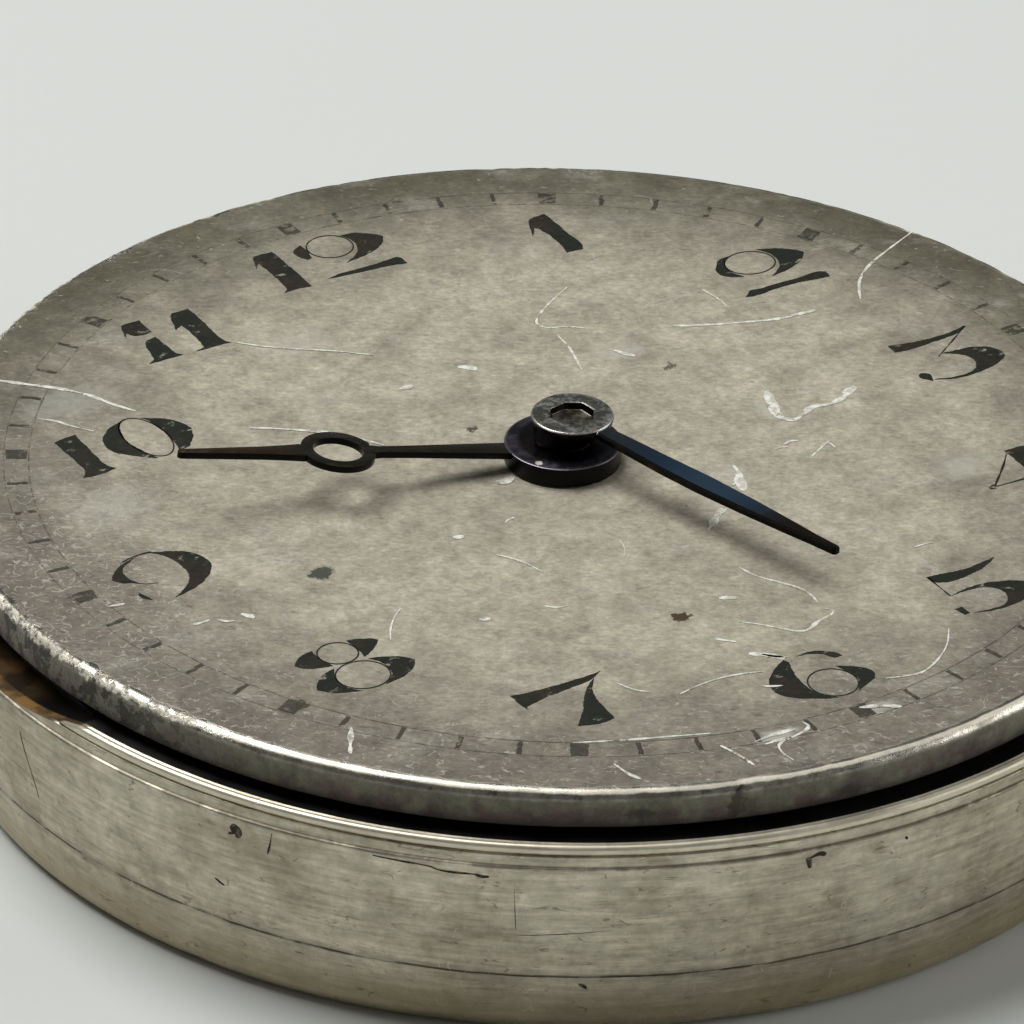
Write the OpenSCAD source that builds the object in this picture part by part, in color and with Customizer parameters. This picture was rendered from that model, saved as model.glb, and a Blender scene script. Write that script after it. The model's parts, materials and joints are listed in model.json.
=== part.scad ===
// Small lever watch movement with dial and hands, in a closed housing band with a push-on back.
// Millimetres. The origin is the centre of the back's flat underside, +Z runs up through the dial,
// 12 o'clock is at +Y and the crown is along +X.

/* [Back cover] */
// Thickness of the back cover's floor
cover_t = 0.45; // [0.35:0.05:0.6]
// Radius of the rounded edge under the back cover
cover_fillet = 0.5; // [0.3:0.05:0.7]
// Height of the seam between back cover and band
seam_z = 1.66; // [1.4:0.02:1.8]
// How much narrower the back cover is at its foot than at the seam
cover_taper = 0.25; // [0.1:0.05:0.4]

/* [Case band] */
// Wall of the band at the seam, measured out from the spigot that holds the cover
seam_wall = 0.49; // [0.4:0.01:0.7]
// How much the band widens from the seam up to the step line
band_flare = 0.37; // [0.1:0.01:0.6]
// Height of the bezel seat above the step line
seat_h = 0.5; // [0.4:0.02:0.6]
// Step in at the step line, under the bezel seat
step_in = 0.06; // [0.03:0.01:0.1]
// Wall of the spigot that the back cover grips
spigot_wall = 0.4; // [0.3:0.02:0.5]
// Depth of the scooped notch at 9 o'clock
notch_depth = 0.45; // [0.2:0.05:0.6]
// Width of the scooped notch at 9 o'clock
notch_w = 6.4; // [4:0.2:7]
// Outside radius of the short stem tube on the band
tube_r = 1.1; // [0.9:0.05:1.2]
// Length of the stem tube outside the band
tube_l = 0.5; // [0.3:0.05:0.6]

/* [Dial] */
// Thickness of the dial
dial_t = 0.4; // [0.3:0.05:0.5]
// Depth of the dial's turned-down rim below its top
rim_drop = 0.85; // [0.7:0.05:0.9]
// Radius of the rounded shoulder between dial face and rim
rim_round = 0.25; // [0.2:0.05:0.4]
// Radius of the hole in the middle of the dial
dial_hole_r = 0.95; // [0.9:0.05:1.1]
// Radius of a dial foot
foot_r = 0.35; // [0.25:0.05:0.4]

/* [Hands] */
// Length of the hour hand along its arm, from the centre
hour_len = 8.84; // [7.5:0.02:9]
// How far the hour hand is bent up from the dial, in degrees
hour_bend = 8.2; // [0:0.1:9]
// Place of the hour hand's oval eye, from the centre
eye_at = 5.2; // [4.4:0.01:5.3]
// Length of the oval eye, outside
eye_l = 1.66; // [1.2:0.02:1.8]
// Width of the oval eye, outside
eye_w = 1.58; // [1:0.02:1.7]
// Width of the metal round the eye
eye_wall = 0.27; // [0.15:0.01:0.3]
// Radius of the hour hand's collet
hour_collet_r = 1.29; // [1.2:0.01:1.4]
// Clock angle that the hour hand points to
hour_at = 283.7; // [0:0.1:359.9]
// Length of the minute hand from the middle of its boss
minute_len = 7.76; // [7:0.02:12]
// Greatest width of the minute hand
minute_w = 0.58; // [0.4:0.02:0.8]
// Radius of the cap on the minute hand's boss
boss_r = 0.92; // [0.85:0.01:1]
// How far that cap and the hand stand off the axis
boss_off = 0.18; // [0:0.02:0.2]
// Clock angle of that offset
boss_off_at = 122.6; // [0:0.1:359.9]
// Radius of the boss's waist under its cap
waist_r = 0.62; // [0.58:0.01:0.7]
// Clock angle that the minute hand points to
minute_at = 164.9; // [0:0.1:359.9]
// Thickness of the hour hand
hour_t = 0.15; // [0.12:0.01:0.25]
// Thickness of the minute hand
minute_t = 0.16; // [0.12:0.01:0.2]

/* [Main plate] */
// Radius of the main plate's body
plate_r = 12.7; // [12.6:0.05:13]
// Thickness of the main plate up to its flange
plate_t = 1.02; // [0.95:0.01:1.1]
// Thickness of the flange that rests on the band's ledge
flange_t = 0.68; // [0.6:0.02:0.75]
// Width of the flange beyond the plate's body
flange_w = 0.45; // [0.35:0.05:0.5]
// Floor of the motion work recess above the plate's underside
recess_up = 0.35; // [0.3:0.01:0.4]

/* [Bridges] */
// Room between the back cover and the bridges
back_room = 0.4; // [0.38:0.02:0.6]
// Thickness of the bridges
bridge_t = 0.8; // [0.75:0.01:0.85]
// Height between the bridges and the main plate, which holds the wheels
train_h = 2.25; // [2.22:0.01:2.4]
// Radius of the bridges' outer edge
bridge_r = 12.5; // [12.4:0.05:12.6]
// Radius of a pillar under a bridge
pillar_r = 0.9; // [0.8:0.02:0.95]
// Gap between neighbouring bridges
bridge_gap = 0.3; // [0.2:0.05:0.4]
// Width of the balance cock's foot, outside the balance
cock_foot_w = 1.38; // [1.3:0.02:1.44]

/* [Going train] */
// Module of the barrel's teeth and the centre pinion
barrel_m = 0.13; // [0.128:0.001:0.132]
// Module of the centre wheel and third pinion
centre_m = 0.105; // [0.104:0.001:0.107]
// Module of the third wheel and fourth pinion
third_m = 0.095; // [0.093:0.001:0.096]
// Module of the fourth wheel and escape pinion
fourth_m = 0.085; // [0.084:0.001:0.086]
// Direction of the third wheel from the centre
third_dir = 190; // [188:1:192]
// Direction of the fourth wheel from the third wheel
fourth_dir = 276.7; // [275:0.1:278]
// Direction of the escape wheel from the fourth wheel
escape_dir = -13.5; // [-14:0.1:-13]
// Direction from the escape wheel through the pallets to the balance
lever_dir = 5; // [4:0.5:6]
// Radius of the escape wheel at its tooth tips
escape_r = 2.2; // [2.1:0.02:2.24]
// Thickness of a train wheel
wheel_t = 0.22; // [0.16:0.01:0.24]
// Radius of a wheel's arbor
arbor_r = 0.2; // [0.16:0.01:0.24]
// Radius of a pivot in its jewel
pivot_r = 0.08; // [0.06:0.01:0.1]
// Clearance of a pivot in its jewel
pivot_gap = 0.02; // [0.01:0.01:0.03]

/* [Balance] */
// Distance from the pallet arbor to the balance staff
lever_span = 3.06; // [2.95:0.01:3.1]
// Outer radius of the balance rim
balance_r = 3.55; // [3.3:0.05:3.6]
// Width of the balance rim
balance_rim_w = 0.4; // [0.3:0.05:0.5]
// Height of the balance rim
balance_rim_h = 0.5; // [0.3:0.05:0.5]
// Length of the timing screws outside the rim
timing_l = 0.2; // [0.1:0.02:0.22]
// Radius of the table roller
roller_r = 0.75; // [0.7:0.01:0.8]
// Outer radius of the hairspring
hairspring_r = 1.7; // [1.5:0.05:1.75]

/* [Barrel and winding] */
// Wall of the barrel drum
drum_wall = 0.25; // [0.2:0.01:0.3]
// Height of the barrel drum
drum_h = 1.4; // [1.2:0.05:1.45]
// Thickness of the mainspring
spring_t = 0.11; // [0.08:0.01:0.12]
// Radius of the winding pinion at its pitch line
winding_r = 1.93; // [1.9:0.005:1.94]
// Place of the crown wheel's centre along the stem
crown_wheel_x = 7.4; // [7.36:0.01:7.44]
// Thickness of the ratchet and crown wheels
ratchet_t = 0.35; // [0.3:0.01:0.36]
// Radius of the clutch wheel
clutch_r = 1.35; // [1.25:0.01:1.36]
// Travel of the crown from winding to setting
pull = 0.6; // [0.4:0.05:0.65]

/* [Crown] */
// Radius of the crown
crown_r = 1.9; // [1.6:0.05:2.2]
// Length of the crown
crown_l = 1.9; // [1.5:0.1:2.5]
// Number of flutes on the crown
flutes = 24; // [16:1:30]

/* [Hidden] */
$fn = 96;
e = 0.05;
// Radial clearance of a part that slips into another
slip = 0.05;
// Radial clearance of a running shaft
run = 0.02;
// Clearance between faces of parts that pass each other
pass = 0.1;

// Heights, from the back cover up to the dial
bridge_z = cover_t + back_room;
bridge_top = bridge_z + bridge_t;
plate_z = bridge_top + train_h;
flange_z = plate_z + plate_t;
dial_z = flange_z + flange_t;
dial_top = dial_z + dial_t;
stem_z = bridge_top + 1.45;
recess_z = plate_z + recess_up;

// Radii of the housing, from the plate outwards
ledge_r = plate_r + slip;
flange_r = plate_r + flange_w;
band_bore = plate_r + 0.3;
spigot_r = band_bore + spigot_wall;
seam_r = spigot_r + seam_wall;
step_r = seam_r + band_flare;
step_z = flange_z - seat_h + 0.12;
seat_r = step_r - step_in;
seat_top = step_z + seat_h;
spigot_z = bridge_z - pass;
rim_in = flange_r + 0.08;
dial_r = rim_in + 0.4;
band_top_in = dial_r + 0.34;

// Teeth
n_barrel = 80;
n_centre_pinion = 10;
n_centre = 80;
n_third_pinion = 10;
n_third = 75;
n_fourth_pinion = 10;
n_fourth = 80;
n_escape_pinion = 8;
n_escape = 15;
n_cannon = 12;
n_minute = 36;
n_minute_pinion = 10;
n_hour = 40;
n_setting = 24;
n_winding = 24;
n_crown_wheel = 32;
n_ratchet = 52;
motion_m = 0.1;
hour_m = motion_m * (n_cannon + n_minute) / (n_minute_pinion + n_hour);

// A place at a distance and direction from another
function polar(from, d, a) = [from[0] + d * cos(a), from[1] + d * sin(a)];
function mesh_d(m, n1, n2) = m * (n1 + n2) / 2;
// Angle of a tooth on wheel 2 that meshes with wheel 1, which has a tooth at a1; 2 lies at dir from 1
function mesh_a(dir, a1, n1, n2) = dir + 180 + 180 / n2 + (dir - a1) * n1 / n2;

// Winding train, in one plane with the stem
winding_m = 2 * winding_r / n_winding;
crown_wheel_r = winding_m * n_crown_wheel / 2;
ratchet_r = winding_m * n_ratchet / 2;
barrel_d = mesh_d(barrel_m, n_barrel, n_centre_pinion);
ratchet_d = crown_wheel_r + ratchet_r;
barrel_dir = acos((pow(barrel_d, 2) + pow(crown_wheel_x, 2) - pow(ratchet_d, 2))
    / (2 * barrel_d * crown_wheel_x));
K = [crown_wheel_x, 0];
C = [0, 0];
A = polar(C, barrel_d, barrel_dir);
T = polar(C, mesh_d(centre_m, n_centre, n_third_pinion), third_dir);
F = polar(T, mesh_d(third_m, n_third, n_fourth_pinion), fourth_dir);
E = polar(F, mesh_d(fourth_m, n_fourth, n_escape_pinion), escape_dir);
pallet_d = escape_r / cos(30);
P = polar(E, pallet_d, lever_dir);
B = polar(P, lever_span, lever_dir);
M = [mesh_d(motion_m, n_cannon, n_minute), 0];
S = [M[0] + mesh_d(motion_m, n_minute, n_setting), 0];
barrel_r = barrel_m * n_barrel / 2;
drum_r = barrel_r - 0.25;
drum_room = drum_r - drum_wall;
cover_plate_t = 0.2;
barrel_arbor_r = 0.55;
barrel_pivot_r = 0.45;
arbor_square = 0.8;
arbor_core_r = 1.15;

// Tooth angles
a_centre_pinion = mesh_a(barrel_dir + 180, 0, n_barrel, n_centre_pinion);
a_third_pinion = mesh_a(third_dir, 0, n_centre, n_third_pinion);
a_fourth_pinion = mesh_a(fourth_dir, 0, n_third, n_fourth_pinion);
a_escape_pinion = mesh_a(escape_dir, 0, n_fourth, n_escape_pinion);
a_minute = mesh_a(0, 0, n_cannon, n_minute);
a_hour = mesh_a(180, 0, n_minute_pinion, n_hour);
a_setting = mesh_a(0, a_minute, n_minute, n_setting);
a_crown_wheel = 180 / n_crown_wheel;
ratchet_dir = atan2(A[1] - K[1], A[0] - K[0]);
a_ratchet = mesh_a(ratchet_dir, a_crown_wheel, n_crown_wheel, n_ratchet);

// Levels of the wheels
barrel_z = bridge_top + 0.2;
barrel_top = barrel_z + drum_h;
barrel_teeth_z = barrel_top - 0.5;
centre_z = bridge_top + 1.8;
third_z = bridge_top + 1.27;
fourth_z = bridge_top + 0.3;
escape_z = bridge_top + 1.3;
cock_z = bridge_top + 0.75;
cock_t = 0.4;
balance_z = bridge_top + 0.1;
roller_z = bridge_top + 1;
roller_t = 0.15;
balance_cock_t = 0.5;
hairspring_z = bridge_top - 0.15;
hairspring_h = 0.12;
minute_z = recess_z + 0.05;
motion_t = 0.25;
hour_z = minute_z + motion_t + 0.15;
minute_pinion_h = 0.45;
post_r = 0.3;

// Jewels
jewel_r = 0.5;
jewel_t = 0.3;
bridge_jewel_z = bridge_z + 0.05;
centre_arbor_r = 0.3;
centre_pivot_r = 0.2;
cannon_bore_r = 0.25;

// Stem, along X
block_in = crown_wheel_x + crown_wheel_r + 0.52;
block_out = plate_r - 0.15;
winding_x = crown_wheel_x + crown_wheel_r - 0.13;
winding_w = 0.55;
winding_tip = winding_r + 0.13;
face_x = winding_x - 0.35;
face_h = 0.2;
clutch_l = 2;
clutch_x = face_x - face_h - clutch_l;
clutch_shift = pull * 5 / 6;
clutch_groove_x = clutch_x + 0.8;
clutch_groove_w = 0.5;
clutch_groove_r = 0.95;
pilot_wall_x = clutch_x - clutch_shift - 0.6;
pilot_wall_w = 0.5;
pilot_r = 0.25;
square_w = 0.76;
stem_r = 0.55;
shoulder_r = 0.75;
lever_pin_x = block_in + 0.7;
lever_pin_r = 0.2;
stem_groove_r = 0.45;
crown_x = seat_r + 0.75;

// Pallet stones, from the place where they catch the escape teeth outwards
stone_in = escape_r - 0.06;
stone_l = 0.45;
stone_w = 0.16;
fork_t = 0.2;

// Keyless levers on the dial side
keyless_z = plate_z + 0.65;
lever_t = 0.3;
setting_pivot = [block_in + 0.4, -3.9];
yoke_pivot = [clutch_groove_x + 0.8, -4.4];
keyless_screw_r = 0.3;
yoke_screw_r = 0.25;

// Screws
screw_r = 0.3;
head_r = 0.55;
head_h = 0.3;
slot_w = 0.14;
slot_d = 0.12;
pillar_at = bridge_r - pillar_r - pass;
barrel_bridge_screws = [for (a = [26, 100, 150]) polar(C, pillar_at, a)];
train_bridge_screws = [for (a = [186, 236]) polar(C, pillar_at, a)];
foot_at = [polar(C, plate_r - 1.5, 78), polar(C, plate_r - 1.5, 258)];
case_screw_at = [polar(C, plate_r - 0.55, 125), polar(C, plate_r - 0.55, 290)];
case_head_r = 0.75;
case_screw_r = 0.28;
case_screw_l = 1.3;
foot_screw_r = 0.2;
washer_r = 1.5;
washer_t = 0.08;
pallet_cock_foot = polar(P, 2.6, -80);
pallet_screw_r = 0.22;
cock_foot_dir = atan2(B[1], B[0]);
cock_foot_in = norm(B) + balance_r + timing_l + 0.12;
cock_foot_out = cock_foot_in + cock_foot_w;
cock_screw_at = polar(C, (cock_foot_in + cock_foot_out) / 2, cock_foot_dir);
stud_at = polar(B, hairspring_r + 0.2, -100);
stud_r = 0.13;

// Click
click_out = 1.2;
click_at = polar(A, ratchet_r + click_out, 178);
click_t = 0.3;
click_screw_r = 0.22;

// Hands
hour_pipe_r = 0.72;
cannon_r = 0.45;
hour_hand_z = dial_top + 0.22;
collet_edge_z = dial_top + 0.47;
collet_top_z = dial_top + 0.53;
boss_z = collet_top_z + 0.04;
boss_top = dial_top + 1.17;
cap_t = 0.32;
recess_r = 0.5;
recess_d = 0.17;
pipe_top = dial_top + 0.42;
collet_z = dial_top + 0.03;

nickel = "#a9a392";
steel = "#8c8e92";
gilt = "#b7975a";
ruby = "#a3203f";
blued = "#22355c";
silvered = "#a59f90";

// Shapes that repeat

// Spur teeth as one outline, root to tip, slimmed so that meshing teeth have play
module gear_2d(n, m, a = 0) {
    root = m * n / 2 - 1.15 * m;
    tip = m * n / 2 + 0.85 * m;
    step = 360 / n;
    polygon([for (i = [0:n - 1]) for (p = [[root, -0.27], [tip, -0.1], [tip, 0.1], [root, 0.27]])
        p[0] * [cos(a + (i + p[1]) * step), sin(a + (i + p[1]) * step)]]);
}

// A wheel with four arms, its teeth starting at angle a
module wheel(n, m, t, hub, rim, arm, a = 0) {
    inner = m * n / 2 - 1.15 * m - rim;
    difference() {
        linear_extrude(t) gear_2d(n, m, a);
        for (q = [0:3]) rotate(q * 90 + 45) translate([0, 0, -e]) difference() {
            intersection() {
                cylinder(r = inner, h = t + 2 * e);
                translate([arm / 2, arm / 2, 0]) cube([inner, inner, t + 2 * e]);
            }
            translate([0, 0, -e]) cylinder(r = hub, h = t + 4 * e);
        }
    }
}

module pinion(n, m, h, a = 0) {
    linear_extrude(h) gear_2d(n, m, a);
}

// An arbor from a pivot at z0 up to a pivot at z1, full thickness between the shoulders
module arbor(z0, s0, s1, z1, r = arbor_r, p = pivot_r) {
    translate([0, 0, z0]) cylinder(r = p, h = z1 - z0);
    translate([0, 0, s0]) cylinder(r = r, h = s1 - s0);
}

// A slotted screw whose head faces down, with the head's outer face at z = 0
module screw(r, length, head = head_r, h = head_h) {
    difference() {
        union() {
            cylinder(r = head, h = h);
            cylinder(r = r, h = length);
        }
        translate([-head, -slot_w / 2, -e]) cube([2 * head, slot_w, slot_d + e]);
    }
}

module ring(r_out, r_in, h) {
    difference() {
        cylinder(r = r_out, h = h);
        translate([0, 0, -e]) cylinder(r = r_in, h = h + 2 * e);
    }
}

// A slice of a ring between two angles, less than half a turn
module ring_slice(r_out, r_in, h, a0, a1) {
    far = 3 * r_out;
    intersection() {
        ring(r_out, r_in, h);
        linear_extrude(h) polygon([[0, 0], far * [cos(a0), sin(a0)],
            far * [cos((a0 + a1) / 2), sin((a0 + a1) / 2)], far * [cos(a1), sin(a1)]]);
    }
}

// A flat bar with round ends
module bar(p, q, r, h) {
    d = q - p;
    l = norm(d);
    translate([p[0], p[1], 0]) cylinder(r = r, h = h);
    translate([q[0], q[1], 0]) cylinder(r = r, h = h);
    translate([p[0], p[1], 0]) rotate(atan2(d[1], d[0])) translate([0, -r, 0]) cube([l, 2 * r, h]);
}

// A spiral strip from radius r0 to r1, n turns, w thick, starting at angle a
module spiral_2d(r0, r1, n, w, a = 0, seg = 20) {
    k = n * seg;
    function at(i, off) = (r0 + (r1 - r0) * i / k + off) * [cos(a + i * 360 / seg),
        sin(a + i * 360 / seg)];
    polygon(concat([for (i = [0:k]) at(i, w / 2)], [for (i = [k:-1:0]) at(i, -w / 2)]));
}

// Castle teeth on a ring face, for the clutch and the winding pinion
module face_teeth(r_out, r_in, h, n, a) {
    half = 90 / n - 3;
    for (i = [0:n - 1]) ring_slice(r_out, r_in, h, a + i * 360 / n - half, a + i * 360 / n + half);
}

module along_x(x = 0) {
    translate([x, 0, stem_z]) rotate([0, 90, 0]) children();
}

// The outline of a fillet in the plane of a turned profile, n steps from angle a0 to a1
function arc(cx, cy, r, a0, a1, n = 6) = [for (i = [0:n])
    [cx + r * cos(a0 + (a1 - a0) * i / n), cy + r * sin(a0 + (a1 - a0) * i / n)]];

// Housing

module back_cover() {
    foot_r0 = seam_r - cover_taper;
    color(nickel) rotate_extrude() polygon(concat(
        [[0, 0]],
        arc(foot_r0 - cover_fillet, cover_fillet, cover_fillet, -90, 0),
        [[seam_r, seam_z - 0.06], [seam_r - 0.04, seam_z - 0.01], [spigot_r + slip, seam_z - 0.01],
            [spigot_r + slip, cover_t + 0.15], [spigot_r - 0.1, cover_t], [0, cover_t]]));
}

module case_band() {
    bead = 0.1;
    notch_round = (pow(notch_w / 2, 2) + pow(notch_depth, 2)) / (2 * notch_depth);
    color(nickel) difference() {
        union() {
            rotate_extrude() polygon(concat(
                [[band_bore, spigot_z], [spigot_r, spigot_z], [spigot_r, seam_z],
                    [seam_r - 0.04, seam_z], [seam_r, seam_z + 0.05], [step_r, step_z - 0.05],
                    [step_r, step_z], [seat_r, step_z + 0.02], [seat_r, seat_top - 0.24],
                    [seat_r - 0.06, seat_top - 0.22], [seat_r - 0.06, seat_top - 0.19],
                    [seat_r, seat_top - 0.17]],
                arc(seat_r - bead, seat_top - bead, bead, 0, 90, 4),
                [[band_top_in, seat_top - 0.02], [band_top_in - 0.06, flange_z], [ledge_r, flange_z],
                    [ledge_r, plate_z], [band_bore, plate_z]]));
            along_x(seam_r - 0.4) cylinder(r = tube_r, h = seat_r + tube_l - seam_r + 0.4);
        }
        translate([-seat_r - 1, 0, seat_top - notch_depth + notch_round]) rotate([0, 90, 0])
            cylinder(r = notch_round, h = seat_r + 1 - rim_in);
        along_x(plate_r) cylinder(r = stem_r + slip, h = 4);
    }
}

module case_screws() {
    color(steel) for (p = case_screw_at) translate([p[0], p[1], plate_z - head_h - 0.02])
        screw(case_screw_r, case_screw_l, case_head_r);
}

// Plate and bridges

module motion_recess(h) {
    translate([0, 0, recess_z]) {
        cylinder(r = hour_m * n_hour / 2 + 0.5, h = h);
        translate([M[0], M[1], 0]) cylinder(r = motion_m * n_minute / 2 + 0.35, h = h);
        translate([S[0], S[1], 0]) cylinder(r = motion_m * n_setting / 2 + 0.35, h = h);
    }
}

module keyless_recess() {
    translate([0, 0, keyless_z - 0.05]) linear_extrude(plate_t + flange_t) polygon([
        [clutch_x - 1.3, 1], [lever_pin_x + 0.9, 1], [lever_pin_x + 0.9, -2.5],
        [setting_pivot[0] + 0.75, setting_pivot[1] - 0.75], [yoke_pivot[0] - 0.2, -6.6],
        [clutch_x - 1.9, -6.2], [clutch_x - 1.9, -3.2]]);
}

module main_plate() {
    color(gilt) difference() {
        union() {
            translate([0, 0, plate_z]) cylinder(r = plate_r, h = plate_t + e);
            translate([0, 0, flange_z]) cylinder(r = flange_r, h = flange_t);
            translate([block_in, -1.6, stem_z - 0.95])
                cube([block_out - block_in, 3.2, plate_z - stem_z + 0.95 + e]);
            translate([pilot_wall_x, -0.7, stem_z - 0.5])
                cube([pilot_wall_w, 1.4, plate_z - stem_z + 0.5 + e]);
            for (s = [-1, 1]) {
                pin = polar(P, 1.9, lever_dir);
                translate([pin[0] - s * 0.42 * sin(lever_dir), pin[1] + s * 0.42 * cos(lever_dir),
                    escape_z - 0.05]) cylinder(r = 0.1, h = plate_z - escape_z + 0.1);
            }
        }
        difference() {
            motion_recess(plate_t + flange_t);
            for (p = [M, S]) translate([p[0], p[1], recess_z - e]) cylinder(r = post_r, h = 0.7);
        }
        keyless_recess();
        translate([clutch_x - clutch_shift - 0.06, -clutch_r - pass, plate_z - e])
            cube([face_x - clutch_x + clutch_shift + 0.12, 2 * (clutch_r + pass),
                stem_z + clutch_r + pass - plate_z + e]);
        translate([face_x - 0.1, -winding_tip - pass, plate_z - e])
            cube([block_in - face_x + 0.1, 2 * (winding_tip + pass),
                stem_z + winding_tip + 0.05 - plate_z + e]);
        along_x(block_in - e) cylinder(r = shoulder_r + run, h = 4);
        along_x(pilot_wall_x - e) cylinder(r = pilot_r + run, h = pilot_wall_w + 2 * e);
        translate([lever_pin_x - 0.35, -0.45, stem_z]) cube([pull + 0.7, 0.9, 3]);
        translate([0, 0, plate_z - e]) cylinder(r = centre_arbor_r + run, h = plate_t);
        translate([A[0], A[1], plate_z - e]) cylinder(r = barrel_pivot_r + run, h = 0.6);
        for (p = [T, F, E, P, B]) translate([p[0], p[1], plate_z - e]) {
            cylinder(r = jewel_r, h = jewel_t + e);
            cylinder(r = 0.25, h = jewel_t + 0.3);
        }
        for (p = concat(barrel_bridge_screws, train_bridge_screws, [cock_screw_at]))
            translate([p[0], p[1], plate_z - e]) cylinder(r = screw_r, h = 0.65 + e);
        translate([pallet_cock_foot[0], pallet_cock_foot[1], plate_z - e])
            cylinder(r = pallet_screw_r, h = 0.5 + e);
        for (p = case_screw_at) translate([p[0], p[1], plate_z - e]) cylinder(r = case_screw_r, h = 1.1);
        for (p = foot_at) translate([p[0], p[1], plate_z + 0.3])
            cylinder(r = foot_r + run, h = plate_t + flange_t);
        for (p = foot_at) foot_screw_axis(p) cylinder(r = foot_screw_r, h = 1.5);
        translate([setting_pivot[0], setting_pivot[1], plate_z - e])
            cylinder(r = keyless_screw_r, h = 2);
        translate([yoke_pivot[0], yoke_pivot[1], plate_z + 0.2]) cylinder(r = yoke_screw_r, h = 2);
    }
}

// Radial axis through a dial foot, starting at the foot and pointing out of the plate's edge
module foot_screw_axis(p) {
    translate([p[0], p[1], plate_z + 0.6]) rotate(atan2(p[1], p[0])) rotate([0, 90, 0])
        translate([0, 0, foot_r]) children();
}

// Ground plan of the barrel bridge: the side of the plate that holds barrel and winding wheels
module barrel_bridge_2d() {
    g = bridge_gap / 2;
    intersection() {
        circle(r = bridge_r);
        polygon([[bridge_r + 1, -3.05], [4.9, -3.05], [3.2, -1.7], [1.4, -1.7], [-1.7, -1.35],
            [-2.4, 1], [-3.4, 2.2 + g], [-bridge_r - 1, 2.2 + g], [-bridge_r - 1, bridge_r + 1],
            [bridge_r + 1, bridge_r + 1]]);
    }
}

// Ground plan of the train bridge: the third, fourth and escape wheels
module train_bridge_2d() {
    g = bridge_gap / 2;
    intersection() {
        circle(r = bridge_r);
        polygon([[-bridge_r - 1, 2.2 - g], [-3.4 - g, 2.2 - g], [-2.4 - 2 * g, 1 - g],
            [-1.9 - g, -1.6], [-1.7, -3.6], [0.75, -4.4], [0.95, -6.8], [-0.9, -8.2],
            [-2.2, -bridge_r - 1], [-bridge_r - 1, -bridge_r - 1]]);
    }
}

module bridge_body(screws) {
    difference() {
        union() {
            translate([0, 0, bridge_z]) linear_extrude(bridge_t) children();
            for (p = screws) translate([p[0], p[1], bridge_top - e])
                cylinder(r = pillar_r, h = train_h + e);
        }
        for (p = screws) translate([p[0], p[1], bridge_z - e]) {
            cylinder(r = head_r + slip, h = head_h + 0.05 + e);
            cylinder(r = screw_r + slip, h = bridge_t + train_h + 2 * e);
        }
        for (p = case_screw_at) translate([p[0], p[1], bridge_z - e])
            cylinder(r = case_head_r + 0.2, h = bridge_t + 2 * e);
    }
}

module bridge_jewel_hole(p, r = arbor_r + 0.1) {
    translate([p[0], p[1], bridge_z - e]) {
        cylinder(r = jewel_r, h = jewel_t + 0.05 + e);
        cylinder(r = r, h = bridge_t + 2 * e);
    }
}

module barrel_bridge() {
    sink = ratchet_t + 0.02;
    color(gilt) difference() {
        bridge_body(barrel_bridge_screws) barrel_bridge_2d();
        bridge_jewel_hole(C, centre_arbor_r + 0.1);
        translate([A[0], A[1], bridge_z - e]) {
            cylinder(r = ratchet_r + 0.3, h = sink + e);
            cylinder(r = barrel_arbor_r + run, h = bridge_t + 2 * e);
        }
        translate([K[0], K[1], bridge_z - e]) difference() {
            cylinder(r = crown_wheel_r + 0.3, h = sink + e);
            cylinder(r = 1, h = sink + e);
        }
        translate([K[0], K[1], bridge_z - e]) cylinder(r = 0.3, h = 0.65);
        translate([click_at[0], click_at[1], bridge_z - e]) {
            cylinder(r = 1.75, h = sink + e);
            cylinder(r = click_screw_r, h = 0.75 + e);
        }
        translate([winding_x - 0.15, -1.75, bridge_z - e])
            cube([block_in - winding_x + 0.3, 3.5, bridge_t + 2 * e]);
    }
}

module train_bridge() {
    color(gilt) difference() {
        bridge_body(train_bridge_screws) train_bridge_2d();
        for (p = [T, F, E]) bridge_jewel_hole(p);
    }
}

module pallet_cock() {
    color(gilt) difference() {
        union() {
            translate([0, 0, cock_z]) bar(P, pallet_cock_foot, 0.75, cock_t);
            translate([pallet_cock_foot[0], pallet_cock_foot[1], cock_z])
                cylinder(r = 0.75, h = plate_z - cock_z);
        }
        translate([pallet_cock_foot[0], pallet_cock_foot[1], cock_z - e])
            cylinder(r = pallet_screw_r + slip, h = plate_z - cock_z + 2 * e);
        translate([P[0], P[1], cock_z - e]) {
            cylinder(r = 0.4, h = 0.25 + e);
            cylinder(r = arbor_r + 0.05, h = cock_t + 2 * e);
        }
    }
}

module balance_cock() {
    color(gilt) difference() {
        union() {
            translate([B[0], B[1], bridge_z]) cylinder(r = 1.5, h = balance_cock_t);
            translate([0, 0, bridge_z]) rotate(cock_foot_dir) linear_extrude(balance_cock_t)
                polygon([[norm(B), -1.3], [cock_foot_in + 0.3, -2], [cock_foot_in + 0.3, 2],
                    [norm(B), 1.3]]);
            translate([0, 0, bridge_z])
                ring_slice(cock_foot_out, cock_foot_in, plate_z - bridge_z, cock_foot_dir - 14,
                    cock_foot_dir + 14);
            translate([0, 0, bridge_z]) bar(B, stud_at, 0.3, balance_cock_t);
        }
        translate([B[0], B[1], bridge_z - e]) {
            cylinder(r = jewel_r, h = 0.42 + e);
            cylinder(r = 0.22, h = balance_cock_t + 2 * e);
        }
        translate([cock_screw_at[0], cock_screw_at[1], bridge_z - e]) {
            cylinder(r = 0.45 + slip, h = head_h + 0.05 + e);
            cylinder(r = screw_r + 0.02, h = plate_z - bridge_z + 2 * e);
        }
        translate([stud_at[0], stud_at[1], bridge_z - e])
            cylinder(r = stud_r, h = balance_cock_t + 2 * e);
    }
}

module bridge_screws() {
    color(steel) for (p = concat(barrel_bridge_screws, train_bridge_screws))
        translate([p[0], p[1], bridge_z + 0.05]) screw(screw_r, bridge_t + train_h + 0.55);
}

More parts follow.
